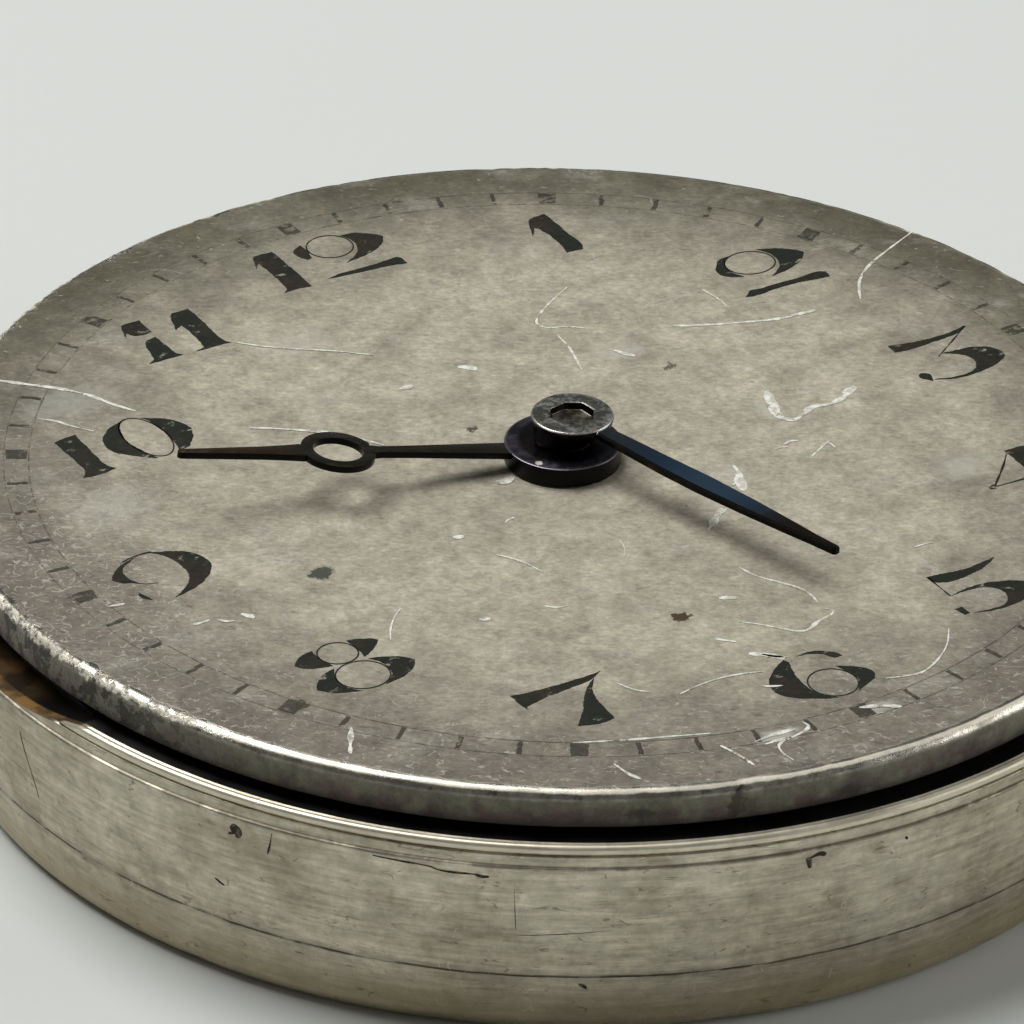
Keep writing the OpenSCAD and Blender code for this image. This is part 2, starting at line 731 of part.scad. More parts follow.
module pallet_cock_screw() {
    color(steel) translate([pallet_cock_foot[0], pallet_cock_foot[1], cock_z - 0.12])
        screw(pallet_screw_r, plate_z - cock_z + 0.55, 0.45, 0.12);
}

module balance_cock_screw() {
    color(steel) translate([cock_screw_at[0], cock_screw_at[1], bridge_z + 0.05])
        screw(screw_r, bridge_t + train_h + 0.55, 0.45);
}

module jewel(p, z, r = jewel_r, t = jewel_t, hole = pivot_r + pivot_gap) {
    translate([p[0], p[1], z]) ring(r, hole, t);
}

module plate_jewels() {
    color(ruby) for (p = [T, F, E, P, B]) jewel(p, plate_z);
}

module bridge_jewels() {
    color(ruby) {
        for (p = [T, F, E]) jewel(p, bridge_jewel_z);
        jewel(C, bridge_jewel_z, hole = centre_pivot_r + pivot_gap);
    }
}

module pallet_jewel() {
    color(ruby) jewel(P, cock_z, 0.4, 0.25);
}

// The balance's hole jewel, with its flat end stone below it
module balance_jewels() {
    color(ruby) {
        jewel(B, bridge_z + 0.17, t = 0.25);
        translate([B[0], B[1], bridge_z]) cylinder(r = jewel_r, h = 0.15);
    }
}

// Barrel and winding train

module barrel() {
    color(gilt) translate([A[0], A[1], 0]) difference() {
        union() {
            translate([0, 0, barrel_z]) cylinder(r = drum_r, h = drum_h);
            translate([0, 0, barrel_teeth_z]) pinion(n_barrel, barrel_m, 0.4);
        }
        translate([0, 0, barrel_z - e]) cylinder(r = drum_room, h = drum_h - cover_plate_t + e);
        translate([0, 0, barrel_z - e]) cylinder(r = barrel_pivot_r + run, h = drum_h + 2 * e);
    }
}

module barrel_cover() {
    color(gilt) translate([A[0], A[1], barrel_z])
        ring(drum_room, barrel_arbor_r + run, cover_plate_t);
}

module mainspring() {
    gap = cover_plate_t + 0.08;
    color(steel) translate([A[0], A[1], barrel_z + gap]) linear_extrude(drum_h - 2 * gap)
        spiral_2d(arbor_core_r + 0.15, drum_room - spring_t / 2 - run, 11, spring_t);
}

module barrel_arbor() {
    color(steel) translate([A[0], A[1], 0]) difference() {
        union() {
            translate([0, 0, bridge_z + ratchet_t]) cylinder(r = barrel_arbor_r, h = barrel_z - bridge_z);
            translate([0, 0, barrel_z + cover_plate_t + 0.04]) cylinder(r = arbor_core_r, h = drum_h - 0.5);
            translate([0, 0, barrel_z + cover_plate_t])
                cylinder(r = barrel_pivot_r, h = plate_z + 0.25 - barrel_z);
            translate([-arbor_square / 2, -arbor_square / 2, bridge_z])
                cube([arbor_square, arbor_square, ratchet_t + e]);
        }
        translate([0, 0, bridge_z - e]) cylinder(r = 0.25, h = 0.8);
    }
}

module ratchet_wheel() {
    color(steel) translate([A[0], A[1], bridge_z]) difference() {
        linear_extrude(ratchet_t) gear_2d(n_ratchet, winding_m, a_ratchet);
        hole = arbor_square + run;
        translate([-hole / 2, -hole / 2, -e]) cube([hole, hole, ratchet_t + 2 * e]);
    }
}

module ratchet_screw() {
    color(steel) translate([A[0], A[1], bridge_z - 0.22]) screw(0.25, 0.85, 0.9, 0.22);
}

module crown_wheel() {
    color(steel) translate([K[0], K[1], bridge_z]) difference() {
        linear_extrude(ratchet_t) gear_2d(n_crown_wheel, winding_m, a_crown_wheel);
        translate([0, 0, -e]) cylinder(r = 1 + run, h = ratchet_t + 2 * e);
    }
}

module crown_wheel_screw() {
    color(steel) translate([K[0], K[1], bridge_z - 0.22]) screw(0.3, 0.7, 1.35, 0.2);
}

module click() {
    dir = atan2(A[1] - click_at[1], A[0] - click_at[0]);
    reach = click_out - 0.85 * winding_m - 0.05;
    color(steel) translate([click_at[0], click_at[1], bridge_z]) rotate(dir) difference() {
        union() {
            cylinder(r = 0.5, h = click_t);
            linear_extrude(click_t) polygon([[0, 0.5], [0.55, 0.42], [reach, 0.08], [reach, -0.04],
                [0.5, -0.3], [0, -0.5]]);
            linear_extrude(click_t) polygon([[-0.3, 0.35], [-0.75, 0.6], [-0.85, 0.45], [-0.45, 0]]);
        }
        translate([0, 0, -e]) cylinder(r = click_screw_r + run, h = 1);
    }
}

module click_screw() {
    color(steel) translate([click_at[0], click_at[1], bridge_z - 0.22])
        screw(click_screw_r, 0.95, 0.42, 0.2);
}

// A bent strip that presses the click towards the ratchet wheel
module click_spring() {
    color(steel) translate([click_at[0], click_at[1], bridge_z + 0.02]) {
        ring_slice(1.42, 1.3, 0.25, 120, 200);
        ring_slice(1.42, 1.3, 0.25, 200, 285);
        translate([1.36 * cos(285), 1.36 * sin(285), 0]) cylinder(r = 0.3, h = ratchet_t - 0.02);
    }
}

// Going train and escapement

module centre_wheel() {
    color(gilt) translate([0, 0, centre_z]) wheel(n_centre, centre_m, wheel_t, 1.1, 0.35, 0.45);
    color(steel) {
        translate([0, 0, barrel_teeth_z - 0.1])
            pinion(n_centre_pinion, barrel_m, centre_z - barrel_teeth_z + 0.1 + e, a_centre_pinion);
        arbor(bridge_jewel_z, bridge_jewel_z + jewel_t + 0.05, plate_z + 0.35, plate_z + 0.35,
            centre_arbor_r, centre_pivot_r);
        translate([0, 0, plate_z]) cylinder(r = cannon_bore_r, h = boss_top - plate_z - 0.25);
    }
}

module third_wheel() {
    color(gilt) translate([T[0], T[1], third_z]) wheel(n_third, third_m, wheel_t, 0.8, 0.3, 0.35);
    color(steel) translate([T[0], T[1], 0]) {
        arbor(bridge_jewel_z, bridge_jewel_z + jewel_t + 0.05, plate_z - 0.03, plate_z + jewel_t);
        translate([0, 0, centre_z - 0.05])
            pinion(n_third_pinion, centre_m, plate_z - centre_z - 0.05, a_third_pinion);
    }
}

module fourth_wheel() {
    color(gilt) translate([F[0], F[1], fourth_z]) wheel(n_fourth, fourth_m, wheel_t, 0.8, 0.3, 0.35);
    color(steel) translate([F[0], F[1], 0]) {
        arbor(bridge_jewel_z, bridge_jewel_z + jewel_t + 0.05, plate_z - 0.03, plate_z + jewel_t);
        translate([0, 0, third_z - 0.1])
            pinion(n_fourth_pinion, third_m, wheel_t + 0.2, a_fourth_pinion);
    }
}

// Club teeth, leaning the way that the wheel runs
module escape_teeth_2d() {
    step = 360 / n_escape;
    root = escape_r - 0.6;
    polygon([for (i = [0:n_escape - 1]) for (p = [[root, -2], [escape_r - 0.13, 4.2],
        [escape_r, 8.6], [escape_r - 0.2, 8], [root, 3.4]])
        p[0] * [cos(i * step + p[1]), sin(i * step + p[1])]]);
}

module escape_wheel() {
    color(steel) translate([E[0], E[1], 0]) {
        translate([0, 0, escape_z]) difference() {
            linear_extrude(wheel_t) escape_teeth_2d();
            for (q = [0:3]) rotate(q * 90) translate([0, 0, -e]) difference() {
                intersection() {
                    cylinder(r = escape_r - 0.82, h = wheel_t + 2 * e);
                    translate([0.13, 0.13, 0]) cube([2, 2, wheel_t + 2 * e]);
                }
                translate([0, 0, -e]) cylinder(r = 0.5, h = wheel_t + 4 * e);
            }
        }
        arbor(bridge_jewel_z, bridge_jewel_z + jewel_t + 0.05, plate_z - 0.03, plate_z + jewel_t);
        translate([0, 0, fourth_z - 0.1])
            pinion(n_escape_pinion, fourth_m, wheel_t + 0.2, a_escape_pinion);
    }
}

// Both pallet arms, the lever and the fork with its notch for the roller's pin
module pallet_fork() {
    notch_at = lever_span - roller_r + 0.2;
    color(steel) translate([P[0], P[1], 0]) {
        translate([0, 0, escape_z]) rotate(lever_dir) difference() {
            union() {
                cylinder(r = 0.3, h = fork_t);
                for (s = [-1, 1]) linear_extrude(fork_t) polygon([[0.2, s * 0.25], [-0.05, s * 1.3],
                    [-0.32, s * 1.52], [-0.62, s * 1.27], [-0.42, s * 0.9], [-0.28, s * 0.1]]);
                linear_extrude(fork_t) polygon([[0, 0.3], [0.9, 0.12], [notch_at - 0.35, 0.1],
                    [notch_at - 0.1, 0.3], [notch_at + 0.16, 0.3], [notch_at + 0.16, -0.3],
                    [notch_at - 0.1, -0.3], [notch_at - 0.35, -0.1], [0.9, -0.12], [0, -0.3]]);
            }
            translate([notch_at - 0.16, -0.11, -e]) cube([1, 0.22, fork_t + 2 * e]);
            for (s = [-1, 1]) translate([-pallet_d, 0, -e]) rotate(s * 30)
                translate([stone_in, -stone_w / 2, 0]) cube([stone_l, stone_w, fork_t + 2 * e]);
        }
        arbor(cock_z, cock_z + 0.28, plate_z - 0.03, plate_z + jewel_t, 0.18);
    }
}

module pallet_stones() {
    color(ruby) translate([E[0], E[1], escape_z - 0.04]) rotate(lever_dir)
        for (s = [-1, 1]) rotate(s * 30) translate([stone_in, -stone_w / 2, 0])
            cube([stone_l, stone_w, fork_t + 0.08]);
}

// The rim with two arms and twelve timing screws
module balance_wheel() {
    color(gilt) translate([B[0], B[1], balance_z]) {
        ring(balance_r, balance_r - balance_rim_w, balance_rim_h);
        difference() {
            rotate(20) translate([-balance_r + 0.1, -0.22, 0]) cube([2 * balance_r - 0.2, 0.44, 0.2]);
            translate([0, 0, -e]) cylinder(r = 0.3, h = 1);
        }
        ring(0.65, 0.3, 0.2);
        for (i = [0:11]) rotate(i * 30 + 5) translate([balance_r - 0.1, 0, balance_rim_h / 2])
            rotate([0, 90, 0]) cylinder(r = 0.14, h = timing_l + 0.1);
    }
}

module balance_staff() {
    color(steel) translate([B[0], B[1], 0]) {
        arbor(bridge_z + 0.17, bridge_top - 0.35, plate_z - 0.05, plate_z + jewel_t, 0.15, 0.06);
        translate([0, 0, balance_z]) cylinder(r = 0.3, h = 0.35);
        translate([0, 0, hairspring_z - 0.02]) cylinder(r = 0.4, h = hairspring_h + 0.07);
    }
}

// The table roller and its upright impulse pin
module roller() {
    color(ruby) translate([B[0], B[1], 0]) {
        translate([0, 0, roller_z]) ring(roller_r, 0.15, roller_t);
        pin = (roller_r - 0.2) * [cos(lever_dir + 180), sin(lever_dir + 180)];
        translate([pin[0], pin[1], roller_z]) cylinder(r = 0.08, h = escape_z + 0.22 - roller_z);
    }
}

// An unbroken spiral of eleven turns and a bit, whose outer end points at the stud
module hairspring() {
    turns = 11;
    color(blued) translate([B[0], B[1], hairspring_z]) linear_extrude(hairspring_h)
        spiral_2d(0.43, hairspring_r, turns, 0.04, -100);
}

module hairspring_stud() {
    color(steel) translate([stud_at[0], stud_at[1], bridge_z]) cylinder(r = stud_r, h = bridge_t - run);
}

// The regulator, a ring round the end stone with a long pointer and a short tail
module regulator() {
    color(steel) translate([B[0], B[1], bridge_z - 0.22]) difference() {
        union() {
            cylinder(r = 0.85, h = 0.2);
            rotate(cock_foot_dir) linear_extrude(0.2)
                polygon([[0, 0.3], [3.4, 0.1], [3.6, 0], [3.4, -0.1], [0, -0.3]]);
            rotate(cock_foot_dir + 180) linear_extrude(0.2)
                polygon([[0, 0.25], [1.3, 0.18], [1.3, -0.18], [0, -0.25]]);
        }
        translate([0, 0, -e]) cylinder(r = 0.45, h = 1);
    }
}

// Winding and setting work

module winding_stem() {
    color(steel) difference() {
        union() {
            along_x(pilot_wall_x - 0.3) cylinder(r = pilot_r, h = 1);
            translate([pilot_wall_x + pilot_wall_w + 0.05, -square_w / 2, stem_z - square_w / 2])
                cube([face_x - pilot_wall_x - pilot_wall_w, square_w, square_w]);
            along_x(face_x) cylinder(r = stem_r, h = crown_x + 1.2 - face_x);
            along_x(block_in + 0.1) cylinder(r = shoulder_r, h = 1.6);
        }
        along_x(lever_pin_x - 0.25) ring(2, stem_groove_r, 0.5);
    }
}

module crown() {
    flute_r = 0.16;
    color(nickel) difference() {
        along_x(crown_x) rotate_extrude() polygon([[stem_r, 0], [crown_r - 0.35, 0],
            [crown_r - 0.1, 0.12], [crown_r, 0.4], [crown_r, crown_l - 0.5],
            [crown_r - 0.18, crown_l - 0.2], [crown_r - 0.6, crown_l - 0.05], [0, crown_l],
            [0, 1.2], [stem_r, 1.2]]);
        for (i = [0:flutes - 1]) along_x(crown_x - e) rotate(i * 360 / flutes)
            translate([crown_r + 0.04, 0, 0]) cylinder(r = flute_r, h = crown_l);
    }
}

module winding_pinion() {
    color(steel) difference() {
        union() {
            along_x(winding_x) linear_extrude(winding_w) gear_2d(n_winding, winding_m);
            along_x(face_x) cylinder(r = clutch_r, h = 0.4);
            along_x(face_x - face_h) face_teeth(clutch_r, 0.8, face_h + e, 10, 0);
        }
        along_x(face_x - 1) cylinder(r = stem_r + run, h = 3);
    }
}

module clutch_wheel() {
    color(steel) difference() {
        union() {
            along_x(clutch_x + face_h) cylinder(r = clutch_r, h = clutch_l - face_h);
            along_x(clutch_x) face_teeth(clutch_r, 0.8, face_h + e, 14, 0);
            along_x(clutch_x + clutch_l - e) face_teeth(clutch_r, 0.8, face_h + e - 0.02, 10, 18);
        }
        along_x(clutch_groove_x) ring(2, clutch_groove_r, clutch_groove_w);
        translate([clutch_x - 1, -square_w / 2 - run, stem_z - square_w / 2 - run])
            cube([clutch_l + 2, square_w + 2 * run, square_w + 2 * run]);
    }
}

// The yoke, a lever whose finger sits in the clutch's groove
module yoke() {
    finger = [clutch_groove_x + clutch_groove_w / 2, 0];
    color(steel) difference() {
        union() {
            translate([0, 0, keyless_z]) bar(yoke_pivot, finger, 0.28, lever_t);
            translate([yoke_pivot[0], yoke_pivot[1], keyless_z]) cylinder(r = 0.6, h = lever_t);
            translate([finger[0], finger[1], stem_z + clutch_groove_r + 0.06])
                cylinder(r = 0.19, h = keyless_z - stem_z - clutch_groove_r);
        }
        translate([yoke_pivot[0], yoke_pivot[1], keyless_z - e])
            cylinder(r = yoke_screw_r + run, h = 1);
    }
}

module yoke_screw() {
    head_z = keyless_z + lever_t + 0.22;
    color(steel) translate([yoke_pivot[0], yoke_pivot[1], head_z]) mirror([0, 0, 1])
        screw(yoke_screw_r, head_z - plate_z - 0.22, 0.45, 0.2);
}

// A bent wire on a screwed foot, beside the yoke's arm
module yoke_spring() {
    foot = [yoke_pivot[0] - 2.2, yoke_pivot[1] - 1.2];
    tip = [yoke_pivot[0] - 0.75, yoke_pivot[1] + 0.9];
    color(steel) translate([0, 0, keyless_z]) {
        bar(foot, [foot[0] + 0.2, tip[1] + 0.2], 0.08, 0.25);
        bar([foot[0] + 0.2, tip[1] + 0.2], tip, 0.08, 0.25);
        translate([foot[0], foot[1], -0.05]) cylinder(r = 0.4, h = 0.35);
    }
}

// The setting lever, whose pin drops into the stem's groove
module setting_lever() {
    color(steel) difference() {
        union() {
            translate([0, 0, keyless_z]) bar(setting_pivot, [lever_pin_x, 0], 0.3, lever_t);
            translate([setting_pivot[0], setting_pivot[1], keyless_z]) cylinder(r = 0.62, h = lever_t);
            translate([lever_pin_x, 0, stem_z + stem_groove_r + 0.05])
                cylinder(r = lever_pin_r, h = keyless_z - stem_z - stem_groove_r);
        }
        translate([setting_pivot[0], setting_pivot[1], keyless_z - e])
            cylinder(r = keyless_screw_r + run, h = 1);
    }
}

module setting_lever_screw() {
    color(steel) translate([setting_pivot[0], setting_pivot[1], plate_z - 0.25])
        screw(keyless_screw_r, keyless_z + lever_t - plate_z + 0.3, 0.5, 0.25);
}

// The jumper plate over the levers, on the recess's floor beside them
module setting_lever_spring() {
    z = keyless_z + lever_t + 0.05;
    color(steel) {
        translate([0, 0, z]) bar([setting_pivot[0] - 0.9, setting_pivot[1] - 0.9],
            [lever_pin_x - 0.3, -1.2], 0.22, 0.15);
        translate([0, 0, z]) bar([lever_pin_x - 0.3, -1.2], [lever_pin_x + 0.1, -0.7], 0.15, 0.15);
        translate([setting_pivot[0] - 0.9, setting_pivot[1] - 0.9, keyless_z - 0.05])
            cylinder(r = 0.3, h = lever_t + 0.25);
    }
}

module setting_wheel() {
    color(steel) translate([S[0], S[1], minute_z]) difference() {
        linear_extrude(motion_t) gear_2d(n_setting, motion_m, a_setting);
        translate([0, 0, -e]) cylinder(r = post_r + run, h = 1);
    }
}

// Motion work, dial and hands

module minute_wheel() {
    color(gilt) translate([M[0], M[1], minute_z]) difference() {
        union() {
            linear_extrude(motion_t) gear_2d(n_minute, motion_m, a_minute);
            linear_extrude(motion_t + 0.05 + minute_pinion_h) gear_2d(n_minute_pinion, hour_m);
        }
        translate([0, 0, -e]) cylinder(r = post_r + run, h = 1);
    }
}

module cannon_pinion() {
    color(steel) translate([0, 0, minute_z]) difference() {
        union() {
            linear_extrude(motion_t + 0.05) gear_2d(n_cannon, motion_m);
            cylinder(r = cannon_r, h = boss_top - recess_d - minute_z);
        }
        translate([0, 0, -e]) cylinder(r = cannon_bore_r + run, h = 5);
    }
}

module hour_wheel() {
    color(gilt) translate([0, 0, hour_z]) difference() {
        union() {
            linear_extrude(motion_t) gear_2d(n_hour, hour_m, a_hour);
            cylinder(r = hour_pipe_r, h = pipe_top - run - hour_z);
        }
        translate([0, 0, -e]) cylinder(r = cannon_r + run, h = 5);
    }
}

module dial_washer() {
    color(gilt) translate([0, 0, hour_z + motion_t + 0.02]) ring(washer_r, hour_pipe_r + slip, washer_t);
}

// The dial, a cup turned down at its rim, with two feet soldered underneath
module dial() {
    rim_z = dial_top - rim_drop;
    foot_z = plate_z + 0.35;
    color(silvered) {
        rotate_extrude() polygon(concat(
            [[dial_hole_r, dial_z], [dial_hole_r, dial_top]],
            arc(dial_r - rim_round, dial_top - rim_round, rim_round, 90, 0, 8),
            [[dial_r + 0.02, rim_z + 0.05], [dial_r - 0.03, rim_z], [rim_in, rim_z], [rim_in, dial_z]]));
        for (p = foot_at) translate([p[0], p[1], foot_z]) cylinder(r = foot_r, h = dial_z - foot_z + e);
    }
}

module dial_foot_screws() {
    color(steel) for (p = foot_at) foot_screw_axis(p) translate([0, 0, plate_r - norm(p) - foot_r
        - slip]) mirror([0, 0, 1])
            screw(foot_screw_r, plate_r - norm(p) - foot_r - 0.08, foot_screw_r, 0.1);
}

// The hour hand: a thin inner arm, a pierced oval eye and a tapered outer arm on a low wide collet,
// all bent up about the centre by the knock that the hand took
module hour_hand() {
    arm_from = hour_collet_r - 0.2;
    inner_end = eye_at - eye_l / 2 + 0.1;
    outer_from = eye_at + eye_l / 2 - 0.15;
    color(blued) {
        rotate(90 - hour_at) translate([0, 0, hour_hand_z]) rotate([0, -hour_bend, 0])
            translate([0, 0, -hour_t / 2]) difference() {
                union() {
                    taper(hour_t, [[arm_from, 0.25], [inner_end - 1, 0.15], [inner_end, 0.13]]);
                    taper(hour_t, [[outer_from, 0.33], [outer_from + 0.45, 0.22],
                        [outer_from + 1, 0.165], [hour_len - 0.05, 0.085], [hour_len, 0.03]]);
                    linear_extrude(hour_t) oval_2d(eye_l, eye_w);
                }
                translate([0, 0, -e]) linear_extrude(hour_t + 2 * e)
                    oval_2d(eye_l - 2 * eye_wall, eye_w - 2 * eye_wall);
            }
        rotate_extrude() polygon([[hour_pipe_r, collet_z], [hour_collet_r, collet_z],
            [hour_collet_r, collet_edge_z], [waist_r, collet_top_z], [waist_r, pipe_top],
            [hour_pipe_r, pipe_top]]);
    }
}

// A flat arm along X, given by its places and half widths
module taper(t, half) {
    linear_extrude(t) polygon(concat([for (p = half) p],
        [for (i = [len(half) - 1:-1:0]) [half[i][0], -half[i][1]]]));
}

module oval_2d(l, w) {
    polygon([for (i = [0:47]) [eye_at + l / 2 * cos(i * 7.5), w / 2 * sin(i * 7.5)]]);
}

// The leaf-shaped hand: its plan crossed with its side view, which dips a little past the boss.
// The boss has a waist on the axis, and a recessed cap that was knocked off centre with the leaf
module minute_hand() {
    w = minute_w / 2;
    cap_z = boss_top - cap_t;
    plan = [[0.6, 0.62], [1, 0.72], [1.8, 0.82], [3, 0.95], [3.9, 1], [5.2, 0.86], [6.4, 0.62],
        [minute_len - 0.7, 0.45], [minute_len - 0.25, 0.38], [minute_len - 0.06, 0.36],
        [minute_len, 0.2]];
    dip = [[0.5, 0], [1, 0], [1.4, 0.015], [2, 0.05], [2.8, 0.07], [minute_len + 0.1, 0.09]];
    color(blued) difference() {
        union() {
            translate([boss_off * sin(boss_off_at), boss_off * cos(boss_off_at), 0]) {
                rotate(90 - minute_at) intersection() {
                    translate([0, 0, boss_z]) taper(1, [for (p = plan) [p[0], w * p[1]]]);
                    translate([0, 2, 0]) rotate([90, 0, 0]) linear_extrude(4) polygon(concat(
                        [for (p = dip) [p[0], boss_top - p[1]]],
                        [for (i = [len(dip) - 1:-1:0]) [dip[i][0], boss_top - minute_t - dip[i][1]]]));
                }
                translate([0, 0, cap_z]) rotate_extrude() polygon([[0, 0], [boss_r, 0],
                    [boss_r, cap_t - 0.04], [boss_r - 0.04, cap_t], [recess_r, cap_t],
                    [recess_r, cap_t - recess_d], [0, cap_t - recess_d]]);
            }
            translate([0, 0, boss_z]) cylinder(r1 = waist_r, r2 = waist_r + 0.12, h = cap_z - boss_z + e);
        }
        translate([0, 0, boss_z - e]) cylinder(r = cannon_r, h = boss_top - recess_d - boss_z + e);
    }
}

back_cover();
case_band();
case_screws();
main_plate();
barrel_bridge();
train_bridge();
pallet_cock();
balance_cock();
bridge_screws();
pallet_cock_screw();
balance_cock_screw();
plate_jewels();
bridge_jewels();
pallet_jewel();
balance_jewels();
barrel();
barrel_cover();
mainspring();
barrel_arbor();
ratchet_wheel();
ratchet_screw();
crown_wheel();
crown_wheel_screw();
click();
click_screw();
click_spring();
centre_wheel();
third_wheel();
fourth_wheel();
escape_wheel();
pallet_fork();
pallet_stones();
balance_wheel();
balance_staff();
roller();
hairspring();
hairspring_stud();
regulator();
winding_stem();
crown();
winding_pinion();
clutch_wheel();
yoke();
yoke_screw();
yoke_spring();
setting_lever();
setting_lever_screw();
setting_lever_spring();
setting_wheel();
minute_wheel();
cannon_pinion();
hour_wheel();
dial_washer();
dial();
dial_foot_screws();
hour_hand();
minute_hand();
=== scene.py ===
"""Looks of a small watch movement in its round band: fine meshes, aged finishes, soft light, camera.

Sizes in the classes are millimetres in the CAD frame: Z up through the dial, 12 at +Y, the crown at +X.
"""
from __future__ import annotations

import json
import logging
import math
from dataclasses import dataclass, field, replace
from enum import Enum
from typing import Callable, Sequence

import bmesh
import bpy
import numpy as np
from mathutils import Matrix, Vector, noise
from mathutils.geometry import tessellate_polygon

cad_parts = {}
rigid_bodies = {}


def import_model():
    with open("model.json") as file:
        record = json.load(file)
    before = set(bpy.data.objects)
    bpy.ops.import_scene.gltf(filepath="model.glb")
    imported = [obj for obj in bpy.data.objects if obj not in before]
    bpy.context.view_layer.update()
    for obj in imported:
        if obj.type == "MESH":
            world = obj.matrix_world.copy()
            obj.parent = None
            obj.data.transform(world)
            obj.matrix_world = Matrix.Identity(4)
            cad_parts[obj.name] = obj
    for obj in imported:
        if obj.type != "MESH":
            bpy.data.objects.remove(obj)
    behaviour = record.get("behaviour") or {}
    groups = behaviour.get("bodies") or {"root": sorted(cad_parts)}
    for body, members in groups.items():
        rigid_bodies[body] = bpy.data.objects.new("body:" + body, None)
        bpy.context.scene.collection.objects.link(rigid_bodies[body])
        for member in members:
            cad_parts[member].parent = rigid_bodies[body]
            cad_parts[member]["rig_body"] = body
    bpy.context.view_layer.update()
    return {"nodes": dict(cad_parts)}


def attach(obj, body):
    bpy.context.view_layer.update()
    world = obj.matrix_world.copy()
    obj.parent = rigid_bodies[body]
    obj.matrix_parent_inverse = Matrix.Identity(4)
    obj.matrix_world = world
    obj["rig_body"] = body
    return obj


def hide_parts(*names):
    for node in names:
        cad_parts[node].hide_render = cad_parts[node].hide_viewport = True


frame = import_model()

MM = 0.001
LOG = logging.getLogger("movement")
Point2 = tuple[float, float]
Point3 = tuple[float, float, float]
Corners = tuple[tuple[float, ...], ...]
Strokes = tuple[tuple[tuple[Point2, ...], float], ...]
Faces = list[tuple[int, ...]]
Loops = list[list[Point2]]
Socket = bpy.types.NodeSocket
Sockets = dict[str, Socket]
Values = dict[str, object]
Piece = bpy.types.Object

# directions on the dial: along the grain of its silvering, and across it
GRAIN = (0.842, -0.539, 0.0)
ACROSS_GRAIN = (0.539, 0.842, 0.0)

# the seed of the uneven edges
SEED = 12

# sizes that several pieces or finishes share
DIAL_TOP = 6.0
WALL_FOOT = (13.893, 1.66)
WALL_HEAD = (14.254, 4.49)
NOTCH_RADIUS = 11.6
NOTCH_HEIGHT = 16.19
STEM_HEIGHT = 3.1
WALL_MEAN = 14.0


class Slot(Enum):
    """The record's material slots."""

    NICKEL = "case_nickel"
    DIAL = "dial_silver"
    BLUED = "blued_steel"
    BROWNED = "browned_steel"


class Body(Enum):
    """The record's bodies that carry pieces without a CAD node of their own."""

    HOUSING = "housing"
    HOUR = "hour_works"
    MINUTE = "minute_works"


class Step(Enum):
    """How one solid changes another."""

    JOIN = "UNION"
    CUT = "DIFFERENCE"


def tint(red: int, green: int, blue: int) -> tuple[float, float, float, float]:
    """Returns linear red, green, blue and alpha for a colour of 0 to 255."""
    parts = [v / 255 for v in (red, green, blue)]
    return (*[v / 12.92 if v <= 0.04045 else ((v + 0.055) / 1.055) ** 2.4 for v in parts], 1.0)


# shader building


